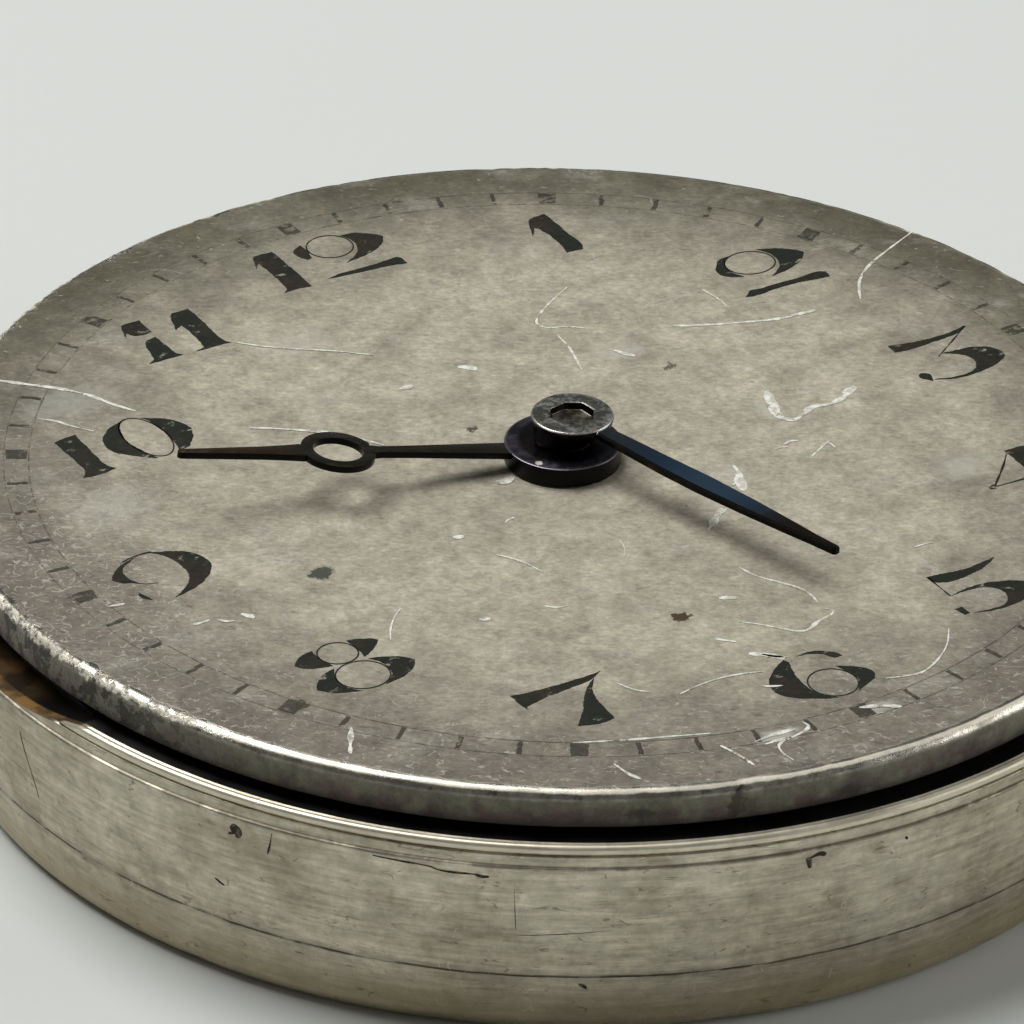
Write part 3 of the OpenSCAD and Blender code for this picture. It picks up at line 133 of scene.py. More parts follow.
class Graph:
    """Places and joins the nodes of one shader tree."""

    def __init__(self, tree: bpy.types.NodeTree) -> None:
        """Keeps the tree that the nodes go into."""
        self.tree = tree

    def feed(self, socket: Socket, value: object) -> None:
        """Joins a socket to an input, or sets the input's own value.

        Args:
            socket: The input.
            value: An output socket, a number, a vector or a colour.
        """
        if isinstance(value, bpy.types.NodeSocket):
            self.tree.links.new(value, socket)
        else:
            socket.default_value = value

    def node(self, kind: str, inputs: dict | None = None, **settings: object) -> bpy.types.Node:
        """Adds a node.

        Args:
            kind: The node's Blender type.
            inputs: Values or sockets by input name or number.
            **settings: The node's own properties.

        Returns:
            The node.
        """
        made = self.tree.nodes.new(kind)
        for key, value in settings.items():
            setattr(made, key, value)
        for key, value in (inputs or {}).items():
            self.feed(made.inputs[key], value)
        return made

    def math(self, operation: str, a: object, b: object = 0.0) -> Socket:
        """Returns the result of a Math node on a and b."""
        return self.node("ShaderNodeMath", {0: a, 1: b}, operation=operation).outputs[0]

    def vector(self, operation: str, a: object, b: object = (0, 0, 0)) -> Socket:
        """Returns the result of a Vector Math node on a and b."""
        made = self.node("ShaderNodeVectorMath", {0: a, 1: b}, operation=operation)
        return made.outputs["Value" if operation in ("LENGTH", "DISTANCE", "DOT_PRODUCT") else "Vector"]

    def mix(self, share: object, a: object, b: object) -> Socket:
        """Returns colour a turned into colour b by share."""
        return self.node("ShaderNodeMix", {0: share, 6: a, 7: b}, data_type="RGBA").outputs[2]

    def blend(self, share: object, a: object, b: object) -> Socket:
        """Returns number a turned into number b by share."""
        return self.node("ShaderNodeMix", {0: share, 2: a, 3: b}, data_type="FLOAT").outputs[0]

    def step(
        self, value: object, low: object, high: object, start: object = 0.0, end: object = 1.0
    ) -> Socket:
        """Steps smoothly from start to end as value goes from low to high.

        Args:
            value: What is stepped.
            low, high: Where the step begins and ends.
            start, end: Its values there.

        Returns:
            The step.
        """
        made = self.node(
            "ShaderNodeMapRange",
            {"Value": value, "From Min": low, "From Max": high, "To Min": start, "To Max": end},
            interpolation_type="SMOOTHSTEP",
        )
        return made.outputs[0]

    def clouds(self, place: object, scale: object, detail: float = 3.0, rough: float = 0.55) -> Socket:
        """Returns a noise value about a half, at a point given in millimetres."""
        inputs = {"Vector": place, "Scale": scale, "Detail": detail, "Roughness": rough}
        return self.node("ShaderNodeTexNoise", inputs).outputs[0]

    def shifts(self, place: object, scale: float, detail: float, rough: float, size: Point3) -> Socket:
        """Returns a point moved about by noise.

        Args:
            place: The point, in millimetres.
            scale, detail, rough: How fine the noise is.
            size: How far it moves the point each way.

        Returns:
            The moved point.
        """
        inputs = {"Vector": place, "Scale": scale, "Detail": detail, "Roughness": rough}
        noisy = self.node("ShaderNodeTexNoise", inputs).outputs["Color"]
        centred = self.vector("SUBTRACT", noisy, (0.5, 0.5, 0.5))
        return self.vector("ADD", place, self.stretch(centred, size))

    def patches(
        self, place: object, scale: object, low: float, high: float, detail: float = 3.0, rough: float = 0.55
    ) -> Socket:
        """Returns a smooth step of a noise value, from 0 at its level low to 1 at high."""
        return self.step(self.clouds(place, scale, detail, rough), low, high)

    def chain(self, operation: str, first: object, *more: object) -> object:
        """Puts several numbers through one operation, from the first to the last.

        Args:
            operation: The Math node's operation.
            first, *more: The numbers.

        Returns:
            The result.
        """
        for value in more:
            first = self.math(operation, first, value)
        return first

    def sum(self, *values: object) -> object:
        """Returns the sum of some numbers."""
        return self.chain("ADD", *values)

    def product(self, *values: object) -> object:
        """Returns the product of some numbers."""
        return self.chain("MULTIPLY", *values)

    def most(self, *values: object) -> object:
        """Returns the largest of some numbers."""
        return self.chain("MAXIMUM", *values)

    def less(self, a: object, b: object) -> Socket:
        """Returns a without b."""
        return self.math("SUBTRACT", a, b)

    def gap(self, a: object, b: object) -> Socket:
        """Returns how far a is from b."""
        return self.math("ABSOLUTE", self.less(a, b))

    def line(self, value: object, slope: object, start: object) -> Socket:
        """Returns a number times a slope, plus a start."""
        return self.sum(self.product(value, slope), start)

    def sway(self, level: Socket, size: object) -> Socket:
        """Returns a noise value about a half as a number about zero."""
        return self.product(self.less(level, 0.5), size)

    def swing(self, level: Socket, size: float) -> Socket:
        """Returns a noise value about a half as a factor about one."""
        return self.sum(self.sway(level, size), 1.0)

    def coat(self, base: object, tone: object, *masks: object) -> Socket:
        """Returns a base colour covered with a tone where every mask lets it."""
        return self.mix(self.product(*masks), base, tone)

    def place(self, x: object, y: object, z: object = 0.0) -> Socket:
        """Returns the vector of x, y and z."""
        return self.node("ShaderNodeCombineXYZ", {0: x, 1: y, 2: z}).outputs[0]

    def stretch(self, place: object, by: Point3) -> Socket:
        """Returns a point with its parts multiplied."""
        return self.vector("MULTIPLY", place, by)

    def shade(self, colour: Socket, level: Socket) -> Socket:
        """Returns a colour made darker or lighter by a factor."""
        made = self.node("ShaderNodeVectorMath", {0: colour, "Scale": level}, operation="SCALE")
        return made.outputs["Vector"]

    def parts(self, place: object) -> tuple[Socket, Socket, Socket]:
        """Returns the x, y and z of a vector."""
        return tuple(self.node("ShaderNodeSeparateXYZ", {0: place}).outputs)

    def facing(self) -> Socket:
        """Returns the direction that the surface faces."""
        return self.node("ShaderNodeNewGeometry").outputs["Normal"]

    def group(self, effect: "Effect", **inputs: object) -> bpy.types.Node:
        """Places a shared effect.

        Args:
            effect: The effect.
            **inputs: Values or sockets by input name, with _ for a space.

        Returns:
            The group's node.
        """
        made = self.node("ShaderNodeGroup", node_tree=effect.tree())
        for key, value in inputs.items():
            self.feed(made.inputs[key.replace("_", " ")], value)
        return made

    def mask(self, effect: "Effect", **inputs: object) -> Socket:
        """Places a shared effect and returns its first output."""
        return self.group(effect, **inputs).outputs[0]

    def here(self, *names: str) -> list[Socket]:
        """Places the effect that tells where a point is, and returns the outputs named."""
        made = self.group(Place())
        return [made.outputs[name] for name in names]


class Effect:
    """A surface effect that several finishes share, kept as one node group with named inputs and outputs."""

    name = "Effect"
    takes: Values = {}
    gives: dict[str, str] = {"Mask": "Float"}

    def tree(self) -> bpy.types.NodeTree:
        """Finds the effect's node group, or builds it the first time.

        Returns:
            The group.
        """
        found = bpy.data.node_groups.get(self.name)
        if found:
            return found
        tree = bpy.data.node_groups.new(self.name, "ShaderNodeTree")
        for name, start in self.takes.items():
            kind = "Float" if isinstance(start, float) else {3: "Vector", 4: "Color"}[len(start)]
            socket = tree.interface.new_socket(name, in_out="INPUT", socket_type="NodeSocket" + kind)
            socket.default_value = start
        for name, kind in self.gives.items():
            tree.interface.new_socket(name, in_out="OUTPUT", socket_type="NodeSocket" + kind)
        graph = Graph(tree)
        source, sink = graph.node("NodeGroupInput"), graph.node("NodeGroupOutput")
        results = self.build(graph, {name: source.outputs[name] for name in self.takes})
        for name, socket in results.items():
            graph.feed(sink.inputs[name], socket)
        return tree

    def build(self, graph: Graph, inputs: Sockets) -> Sockets:
        """Builds the inside of the group, and returns its outputs by name."""
        raise NotImplementedError


class Place(Effect):
    """Where a surface point is: in millimetres, with its distance from the middle and its height."""

    name = "Place in millimetres"
    gives = {"Point": "Vector", "Radius": "Float", "Height": "Float", "Turn": "Float"}

    def build(self, graph: Graph, inputs: Sockets) -> Sockets:
        """Builds the group.

        Args:
            graph: The group's tree.
            inputs: Its inputs by name.

        Returns:
            Its outputs by name.
        """
        own = graph.node("ShaderNodeTexCoord").outputs["Object"]
        point = graph.stretch(own, (1 / MM, 1 / MM, 1 / MM))
        x, y, z = graph.parts(point)
        flat = graph.place(x, y)
        return {
            "Point": point,
            "Radius": graph.vector("LENGTH", flat),
            "Height": z,
            "Turn": graph.math("ARCTAN2", graph.product(y, -1.0), graph.product(x, -1.0)),
        }


class Blotch(Effect):
    """Soft uneven patches."""

    name = "Blotches"
    takes = {"Point": (0, 0, 0), "Scale": 1.0, "From": 0.4, "To": 0.6}

    def build(self, graph: Graph, inputs: Sockets) -> Sockets:
        """Builds the group."""
        base = graph.clouds(inputs["Point"], inputs["Scale"], 5.0, 0.6)
        return {"Mask": graph.step(base, inputs["From"], inputs["To"])}


class Fleck(Effect):
    """Small scattered marks, round or drawn out."""

    name = "Flecks"
    takes = {"Point": (0, 0, 0), "Stretch": (1, 1, 1), "Scale": 1.0, "Size": 0.15, "Share": 0.3}

    def build(self, graph: Graph, inputs: Sockets) -> Sockets:
        """Builds the group.

        Args:
            graph: The group's tree.
            inputs: Its inputs by name.

        Returns:
            Its outputs by name.
        """
        place = graph.stretch(
            graph.shifts(inputs["Point"], 2.6, 3.0, 0.5, (0.5, 0.5, 0.5)), inputs["Stretch"]
        )
        cells = graph.node("ShaderNodeTexVoronoi", {"Vector": place, "Scale": inputs["Scale"]})
        dot = graph.step(cells.outputs["Distance"], 0.0, inputs["Size"], 1.0, 0.0)
        picked, _, other = graph.parts(cells.outputs["Color"])
        chosen = graph.math("LESS_THAN", picked, inputs["Share"])
        return {"Mask": graph.product(graph.product(dot, chosen), graph.step(other, -0.4, 1.0))}


class Hairline(Effect):
    """Fine scratches: thin curved lines that come and go."""

    name = "Hairlines"
    takes = {
        "Point": (0, 0, 0),
        "Stretch": (1, 1, 1),
        "Scale": 0.6,
        "Width": 0.004,
        "Breaks": 0.9,
        "Cover": 0.5,
    }

    def build(self, graph: Graph, inputs: Sockets) -> Sockets:
        """Builds the group.

        Args:
            graph: The group's tree.
            inputs: Its inputs by name.

        Returns:
            Its outputs by name.
        """
        place = graph.stretch(inputs["Point"], inputs["Stretch"])
        level = graph.clouds(place, inputs["Scale"], 1.2, 0.4)
        away = graph.gap(level, 0.5)
        line = graph.step(away, 0.0, inputs["Width"], 1.0, 0.0)
        shown = graph.clouds(inputs["Point"], inputs["Breaks"], 2.0)
        edge = graph.sum(inputs["Cover"], 0.06)
        return {"Mask": graph.product(line, graph.step(shown, inputs["Cover"], edge))}


class Turning(Effect):
    """The fine rings that a lathe leaves along one direction."""

    name = "Turning lines"
    takes = {"Along": 0.0, "Turn": 0.0, "Rings": 20.0}
    gives = {"Height": "Float"}

    def build(self, graph: Graph, inputs: Sockets) -> Sockets:
        """Builds the group."""
        fine = graph.place(graph.product(inputs["Along"], inputs["Rings"]), inputs["Turn"])
        return {"Height": graph.clouds(fine, 1.0, 2.0, 0.6)}


class Spot(Effect):
    """One stain at a chosen place, with an uneven edge."""

    name = "Stain"
    takes = {"Point": (0, 0, 0), "Centre": (0, 0, 0), "Size": (1, 1, 1), "Fade": 0.3}

    def build(self, graph: Graph, inputs: Sockets) -> Sockets:
        """Builds the group.

        Args:
            graph: The group's tree.
            inputs: Its inputs by name.

        Returns:
            Its outputs by name.
        """
        away = graph.vector("SUBTRACT", inputs["Point"], inputs["Centre"])
        away = graph.vector("DIVIDE", away, inputs["Size"])
        wobble = graph.sway(graph.clouds(inputs["Point"], 4.0), 1.3)
        reach = graph.sum(graph.vector("LENGTH", away), wobble)
        return {"Mask": graph.step(reach, graph.less(1.0, inputs["Fade"]), 1.0, 1.0, 0.0)}


class Tarnish(Effect):
    """Uneven darkening and grain for old metal."""

    name = "Tarnish"
    takes = {
        "Point": (0, 0, 0),
        "Clean": (0.5, 0.5, 0.5, 1),
        "Dull": (0.3, 0.3, 0.3, 1),
        "Dirt": (0.1, 0.1, 0.1, 1),
        "Dull Share": 0.5,
        "Dirt Share": 0.2,
        "Scale": 1.0,
    }
    gives = {"Colour": "Color", "Dulled": "Float", "Grain": "Float"}

    def build(self, graph: Graph, inputs: Sockets) -> Sockets:
        """Builds the group.

        Args:
            graph: The group's tree.
            inputs: Its inputs by name.

        Returns:
            Its outputs by name.
        """
        wide = graph.mask(Blotch(), Point=inputs["Point"], Scale=inputs["Scale"], From=0.36, To=0.66)
        small = graph.product(inputs["Scale"], 5.0)
        marks = graph.mask(Blotch(), Point=inputs["Point"], Scale=small, From=0.56, To=0.74)
        dulled = graph.product(wide, inputs["Dull Share"])
        colour = graph.mix(dulled, inputs["Clean"], inputs["Dull"])
        colour = graph.mix(graph.product(marks, inputs["Dirt Share"]), colour, inputs["Dirt"])
        grain = graph.clouds(inputs["Point"], 26.0, 3.0, 0.7)
        return {"Colour": colour, "Dulled": dulled, "Grain": grain}


class DialPatina(Effect):
    """The aged silvering of the dial: mottled grey, grained, darker at the edge, flecked and scratched."""

    name = "Dial patina"
    takes = {
        "Centre": (0.35, 0.32, 0.25, 1),
        "Near Edge": (0.2, 0.19, 0.15, 1),
        "Far Edge": (0.2, 0.19, 0.15, 1),
    }
    gives = {"Colour": "Color", "Bright": "Float", "Relief": "Float", "Across": "Float"}

    def build(self, graph: Graph, inputs: Sockets) -> Sockets:
        """Builds the group.

        Args:
            graph: The group's tree.
            inputs: Its inputs by name.

        Returns:
            Its outputs by name.
        """
        point, radius, turn = graph.here("Point", "Radius", "Turn")
        across = graph.vector("DOT_PRODUCT", point, GRAIN)
        deep = graph.vector("DOT_PRODUCT", point, ACROSS_GRAIN)
        grained = graph.place(across, graph.product(deep, 1.7))
        wander = graph.sway(graph.clouds(point, 0.5, 4.0), 5.5)
        edge = graph.step(graph.sum(radius, wander), 7.6, 12.9)
        left = graph.step(graph.sum(across, wander), -1.0, -11.0)
        near = graph.step(graph.sum(deep, wander), 2.5, -5.0)
        busy = graph.most(left, graph.product(edge, 0.8))
        busy = graph.product(busy, graph.line(near, 0.85, 0.15))
        # wide areas of colour
        outer = graph.mix(graph.step(deep, -6.0, 8.0), inputs["Near Edge"], inputs["Far Edge"])
        colour = graph.coat(inputs["Centre"], outer, edge, 0.85)
        band = graph.product(
            graph.step(graph.sum(radius, graph.product(wander, 0.16)), 11.3, 13.2),
            graph.step(deep, -3.0, 8.0)
        )
        colour = graph.coat(colour, tint(78, 74, 54), band, 0.8)
        olive = graph.mask(Blotch(), Point=point, Scale=0.25, From=0.44, To=0.66)
        colour = graph.coat(colour, tint(140, 138, 120), olive, 0.3)
        haze = graph.mask(Blotch(), Point=grained, Scale=0.42, From=0.53, To=0.72)
        colour = graph.coat(colour, tint(184, 181, 168), haze, 0.36)
        stains = graph.mask(Blotch(), Point=point, Scale=0.7, From=0.55, To=0.72)
        colour = graph.coat(colour, tint(104, 95, 80), stains, graph.line(busy, 0.3, 0.12))
        rays = graph.place(graph.product(turn, 9.0), graph.product(radius, 0.5))
        streaks = graph.product(graph.patches(rays, 1.0, 0.5, 0.7), edge, 0.4)
        colour = graph.mix(streaks, colour, tint(92, 90, 74))
        # uneven light and dark
        level = graph.swing(graph.clouds(point, 0.8, 5.0, 0.65), 1.0)
        level = graph.product(level, graph.swing(graph.clouds(point, 2.6, 5.0, 0.75), 1.3))
        level = graph.product(level, graph.swing(graph.clouds(grained, 6.0, 4.0, 0.75), 1.3))
        colour = graph.shade(colour, level)
        # pale chips, nicks and scratches
        share = graph.line(busy, 0.42, 0.1)
        chips = graph.mask(Fleck(), Point=point, Stretch=(1.0, 0.55, 1.0), Scale=2.4, Size=0.15, Share=share)
        nicks = graph.mask(Fleck(), Point=grained, Stretch=(0.6, 1.0, 1.0), Scale=3.2, Size=0.16, Share=share)
        cover = graph.line(busy, -0.12, 0.6)
        curls = graph.mask(Hairline(), Point=point, Scale=2.3, Width=0.02, Breaks=3.8, Cover=cover)
        hairs = graph.mask(
            Hairline(), Point=grained, Stretch=(1.0, 0.8, 1.0), Scale=3.1, Width=0.03, Breaks=2.9, Cover=cover
        )
        long = graph.mask(
            Hairline(), Point=point, Stretch=(0.45, 1.2, 1.0), Scale=0.8, Width=0.004, Breaks=0.9, Cover=0.56
        )
        curls = graph.product(curls, graph.line(left, 0.8, 0.2))
        fine = graph.product(graph.most(curls, hairs), graph.line(busy, 0.4, 0.24))
        bright = graph.most(chips, nicks, fine, graph.product(long, 0.5))
        colour = graph.coat(colour, tint(212, 209, 198), bright, 0.8)
        # dark pits and dashes
        pits = graph.mask(
            Fleck(), Point=grained, Stretch=(0.8, 1.0, 1.0), Scale=1.5, Size=0.1,
            Share=graph.line(busy, 0.3, 0.3)
        )
        dashes = graph.product(
            graph.patches(grained, 1.7, 0.58, 0.68, 5.0, 0.72), graph.line(busy, 0.75, 0.14)
        )
        dark = graph.most(pits, dashes)
        colour = graph.coat(colour, tint(58, 52, 40), dark, 0.62)
        # relief
        soft = graph.clouds(point, 3.0, 3.0, 0.6)
        fuzz = graph.product(graph.clouds(point, 22.0, 4.0, 0.75), 0.35)
        relief = graph.sum(fuzz, soft, graph.product(dark, -0.8), graph.product(bright, 0.3))
        return {"Colour": colour, "Bright": bright, "Relief": relief, "Across": across}


def dial_patina(graph: Graph) -> bpy.types.Node:
    """Places the patina with this dial's colours: in its middle, and at its near and far edges."""
    middle, near, far = tint(174, 167, 148), tint(106, 99, 88), tint(104, 101, 86)
    return graph.group(DialPatina(), Centre=middle, Near_Edge=near, Far_Edge=far)


class Finish:
    """A material of the object. A finish class says how its surface is coloured and how it shines."""

    title = "Finish"
    metallic = 0.0
    roughness = 0.5
    bump = 0.3
    depth_mm = 0.02

    def make(self) -> bpy.types.Material:
        """Finds the material, or builds it the first time.

        Returns:
            The material.
        """
        found = bpy.data.materials.get(self.title)
        if found:
            return found
        made = bpy.data.materials.new(self.title)
        made.use_nodes = True
        made.node_tree.nodes.clear()
        graph = Graph(made.node_tree)
        looks = {"Metallic": self.metallic, "Roughness": self.roughness, **self.surface(graph)}
        height = looks.pop("Height")
        shader = graph.node("ShaderNodeBsdfPrincipled", looks)
        graph.node("ShaderNodeOutputMaterial", {"Surface": shader.outputs[0]}, target="ALL")
        depth = {"Height": height, "Strength": self.bump, "Distance": self.depth_mm * MM}
        graph.feed(shader.inputs["Normal"], graph.node("ShaderNodeBump", depth).outputs[0])
        return made

    def surface(self, graph: Graph) -> Values:
        """Returns the shader's inputs by name, and the height for the bump."""
        raise NotImplementedError


@dataclass(frozen=True)
class DialSilver(Finish):
    """Worn silvering on the dial, with a turned rim: a painted highlight on its shoulder, tarnished down its
    side, painted shade at its bottom edge.

    Hazes, drips and stains are each a place, half sizes, and a share or a colour.
    """

    title: str = "Dial silvering"
    bump: float = 0.4
    depth_mm: float = 0.03
    rim_from: float = 13.36
    hazes: Corners = (
        (-8.3, 7.4, 1.7, 0.9, 0.35),
        (-9.6, 3.0, 1.3, 1.2, 0.35),
        (-2.5, 7.2, 1.5, 0.8, 0.3),
        (7.5, -4.5, 1.0, 0.8, 0.35),
        (3.6, 3.5, 0.9, 0.6, 0.35),
        (5.15, -0.35, 0.3, 0.6, 0.7),
        (2.95, -2.25, 0.28, 0.4, 0.6),
        (1.85, -3.15, 0.22, 0.3, 0.5),
        (1.6, -3.8, 0.34, 0.24, 0.75),
        (2.5, -4.25, 0.34, 0.2, 0.75),
        (2.85, -2.7, 0.3, 0.42, 0.6),
        (-2.1, -11.9, 0.7, 0.34, 0.7),
        (0.4, -12.0, 0.6, 0.3, 0.6),
        (3.7, 3.3, 0.5, 0.32, 0.5),
    )
    drips: Corners = (
        (-3.82, -13.09, 5.55, 0.24, 0.42),
        (-5.75, -12.37, 5.5, 0.4, 0.2),
        (-1.4, -13.57, 5.4, 0.5, 0.16),
    )
    stains: tuple[tuple, ...] = (
        (-7.05, -1.62, 0.34, 0.26, tint(70, 73, 60)),
        (-1.26, -6.85, 0.24, 0.17, tint(66, 52, 30)),
        (4.25, 2.32, 0.2, 0.16, tint(104, 98, 82)),
        (-10.2, -5.98, 0.36, 0.24, tint(76, 66, 50)),
        (-1.05, 2.05, 0.12, 0.1, tint(84, 76, 58)),
    )

    def surface(self, graph: Graph) -> Values:
        """Colours the dial.

        Args:
            graph: The material's tree.

        Returns:
            The shader's inputs by name, and the bump's height.
        """
        patina = dial_patina(graph)
        point, radius, height = graph.here("Point", "Radius", "Height")
        left = graph.step(patina.outputs["Across"], -5.5, -9.5)
        ragged = graph.sway(graph.clouds(point, 2.2, 4.0), 0.3)
        ragged = graph.product(ragged, graph.line(left, 1.6, 0.4))
        rim = graph.step(graph.sum(radius, ragged), self.rim_from - 0.02, self.rim_from + 0.05)
        colour = patina.outputs["Colour"]
        # hazes on the face
        for x, y, wide, tall, share in self.hazes:
            cloud = graph.mask(Spot(), Point=point, Centre=(x, y, 6.0), Size=(wide, tall, 3.0), Fade=0.8)
            colour = graph.coat(colour, tint(190, 190, 178), cloud, share)
        # the side of the rim
        worn = graph.group(
            Tarnish(), Point=point, Clean=tint(190, 186, 174), Dull=tint(140, 134, 120),
            Dirt=tint(58, 52, 42), Dull_Share=0.8, Dirt_Share=0.6, Scale=0.9
        )
        pits = graph.product(graph.patches(point, 1.9, 0.49, 0.58, 6.0, 0.72), left)
        low = graph.product(graph.step(height, 5.87, 5.74), graph.line(left, -0.15, 1.0))
        mauve = graph.mix(graph.patches(point, 1.1, 0.42, 0.58, 4.0), tint(98, 96, 80), tint(82, 68, 64))
        side = graph.mix(low, worn.outputs["Colour"], mauve)
        # a painted highlight along the rim's shoulder, ragged towards the left
        ridge = graph.sum(height, graph.sway(graph.clouds(point, 2.4, 5.0, 0.7), graph.line(left, 0.5, 0.06)))
        painted_highlight = graph.product(
            graph.step(ridge, graph.line(left, -0.1, 5.915), graph.line(left, -0.05, 5.95)),
            graph.step(height, 5.994, 5.978)
        )
        torn = graph.product(graph.patches(point, 5.0, 0.5, 0.6, 5.0, 0.75), left)
        painted_highlight = graph.product(painted_highlight, graph.line(torn, -0.75, 1.0))
        # the side lighter near its top and darker towards its bottom, then drips down it
        upper = graph.step(height, 5.4, 5.8)
        side = graph.coat(side, tint(124, 123, 102), upper, low, 0.5)
        lower = graph.step(height, 5.42, 5.2)
        side = graph.coat(side, tint(40, 36, 34), lower, 0.6)
        side = graph.shade(side, graph.swing(graph.clouds(point, 1.9, 5.0, 0.8), 2.6))
        glow = graph.step(graph.clouds(point, 3.4, 5.0, 0.75), 0.4, 0.56, 0.72, 1.0)
        # the painted highlight laid over the side, pale where it shows
        side = graph.coat(side, tint(253, 247, 226), painted_highlight, glow)
        side = graph.coat(side, tint(26, 23, 18), pits, graph.line(painted_highlight, -0.5, 0.9))
        # painted shade: the rim's bottom edge, over the gap under the dial, turned near-black
        side = graph.mix(graph.step(height, 5.24, 5.17), side, tint(12, 10, 8))
        loose = graph.shifts(point, 5.0, 5.0, 0.7, (0.6, 0.6, 0.0))
        for x, y, z, wide, tall in self.drips:
            drip = graph.mask(Spot(), Point=loose, Centre=(x, y, z), Size=(wide, wide, tall), Fade=0.6)
            side = graph.coat(side, tint(44, 36, 24), drip, 0.75)
        # face, rim and stains together
        colour = graph.mix(rim, colour, side)
        for x, y, wide, tall, shade in self.stains:
            stain = graph.mask(Spot(), Point=loose, Centre=(x, y, 6.0), Size=(wide, tall, 3.0), Fade=0.3)
            colour = graph.mix(stain, colour, shade)
        metal = graph.blend(graph.most(painted_highlight, low, pits), 0.92, 0.3)
        flat = graph.step(patina.outputs["Bright"], 0.0, 1.0, 0.6, 0.38)
        edge = graph.blend(
            graph.most(low, pits), graph.step(worn.outputs["Dulled"], 0.0, 0.8, 0.2, 0.34), 0.46
        )
        rough = graph.product(graph.line(worn.outputs["Grain"], 0.5, graph.product(pits, -2.5)), rim)
        return {
            "Base Color": colour,
            "Metallic": graph.blend(rim, 0.12, metal),
            "Roughness": graph.blend(rim, flat, edge),
            "Height": graph.line(patina.outputs["Relief"], graph.less(1.0, rim), rough),
        }


@dataclass(frozen=True)
class PrintInk(Finish):
    """Old green-black print that has worn through to the dial."""

    title: str = "Dial print"
    roughness: float = 0.6
    bump: float = 0.3
    depth_mm: float = 0.015
    wear: float = 0.0
    far_wear: float = 0.0
    faint: float = 0.0

    def surface(self, graph: Graph) -> Values:
        """Colours the print.

        Args:
            graph: The material's tree.

        Returns:
            The shader's inputs by name, and the bump's height.
        """
        patina = dial_patina(graph)
        point = graph.here("Point")[0]
        thin = graph.clouds(graph.stretch(point, (1.0, 1.6, 1.0)), 2.3, 6.0, 0.72)
        far = graph.product(
            graph.step(graph.vector("DOT_PRODUCT", point, ACROSS_GRAIN), -5.0, 6.0), self.far_wear
        )
        gone = graph.step(graph.sum(thin, self.wear, far), 0.585, 0.7)
        ink = graph.mix(graph.patches(point, 1.0, 0.42, 0.62), tint(24, 29, 20), tint(40, 35, 25))
        ink = graph.shade(ink, graph.swing(graph.clouds(point, 7.0, 4.0, 0.7), 2.2))
        shown = graph.most(gone, graph.line(graph.clouds(point, 3.0, 4.0, 0.7), self.faint, self.faint * 0.5))
        colour = graph.mix(shown, ink, patina.outputs["Colour"])
        return {"Base Color": colour, "Specular IOR Level": 0.25, "Height": patina.outputs["Relief"]}


@dataclass(frozen=True)
class BareScratch(Finish):
    """Pale metal where the silvering is scratched, broken up along the stroke."""

    title: str = "Scratched silvering"
    metallic: float = 0.1
    roughness: float = 0.45
    bump: float = 0.3
    depth_mm: float = 0.01

    def surface(self, graph: Graph) -> Values:
        """Colours the scratches.

        Args:
            graph: The material's tree.

        Returns:
            The shader's inputs by name, and the bump's height.
        """
        patina = dial_patina(graph)
        point = graph.here("Point")[0]
        fade = graph.patches(point, 3.2, 0.53, 0.63, 5.0, 0.75)
        pale = graph.mix(graph.patches(point, 5.0, 0.4, 0.6), tint(246, 244, 234), tint(206, 204, 190))
        colour = graph.mix(fade, pale, patina.outputs["Colour"])
        return {"Base Color": colour, "Height": graph.clouds(point, 18.0)}


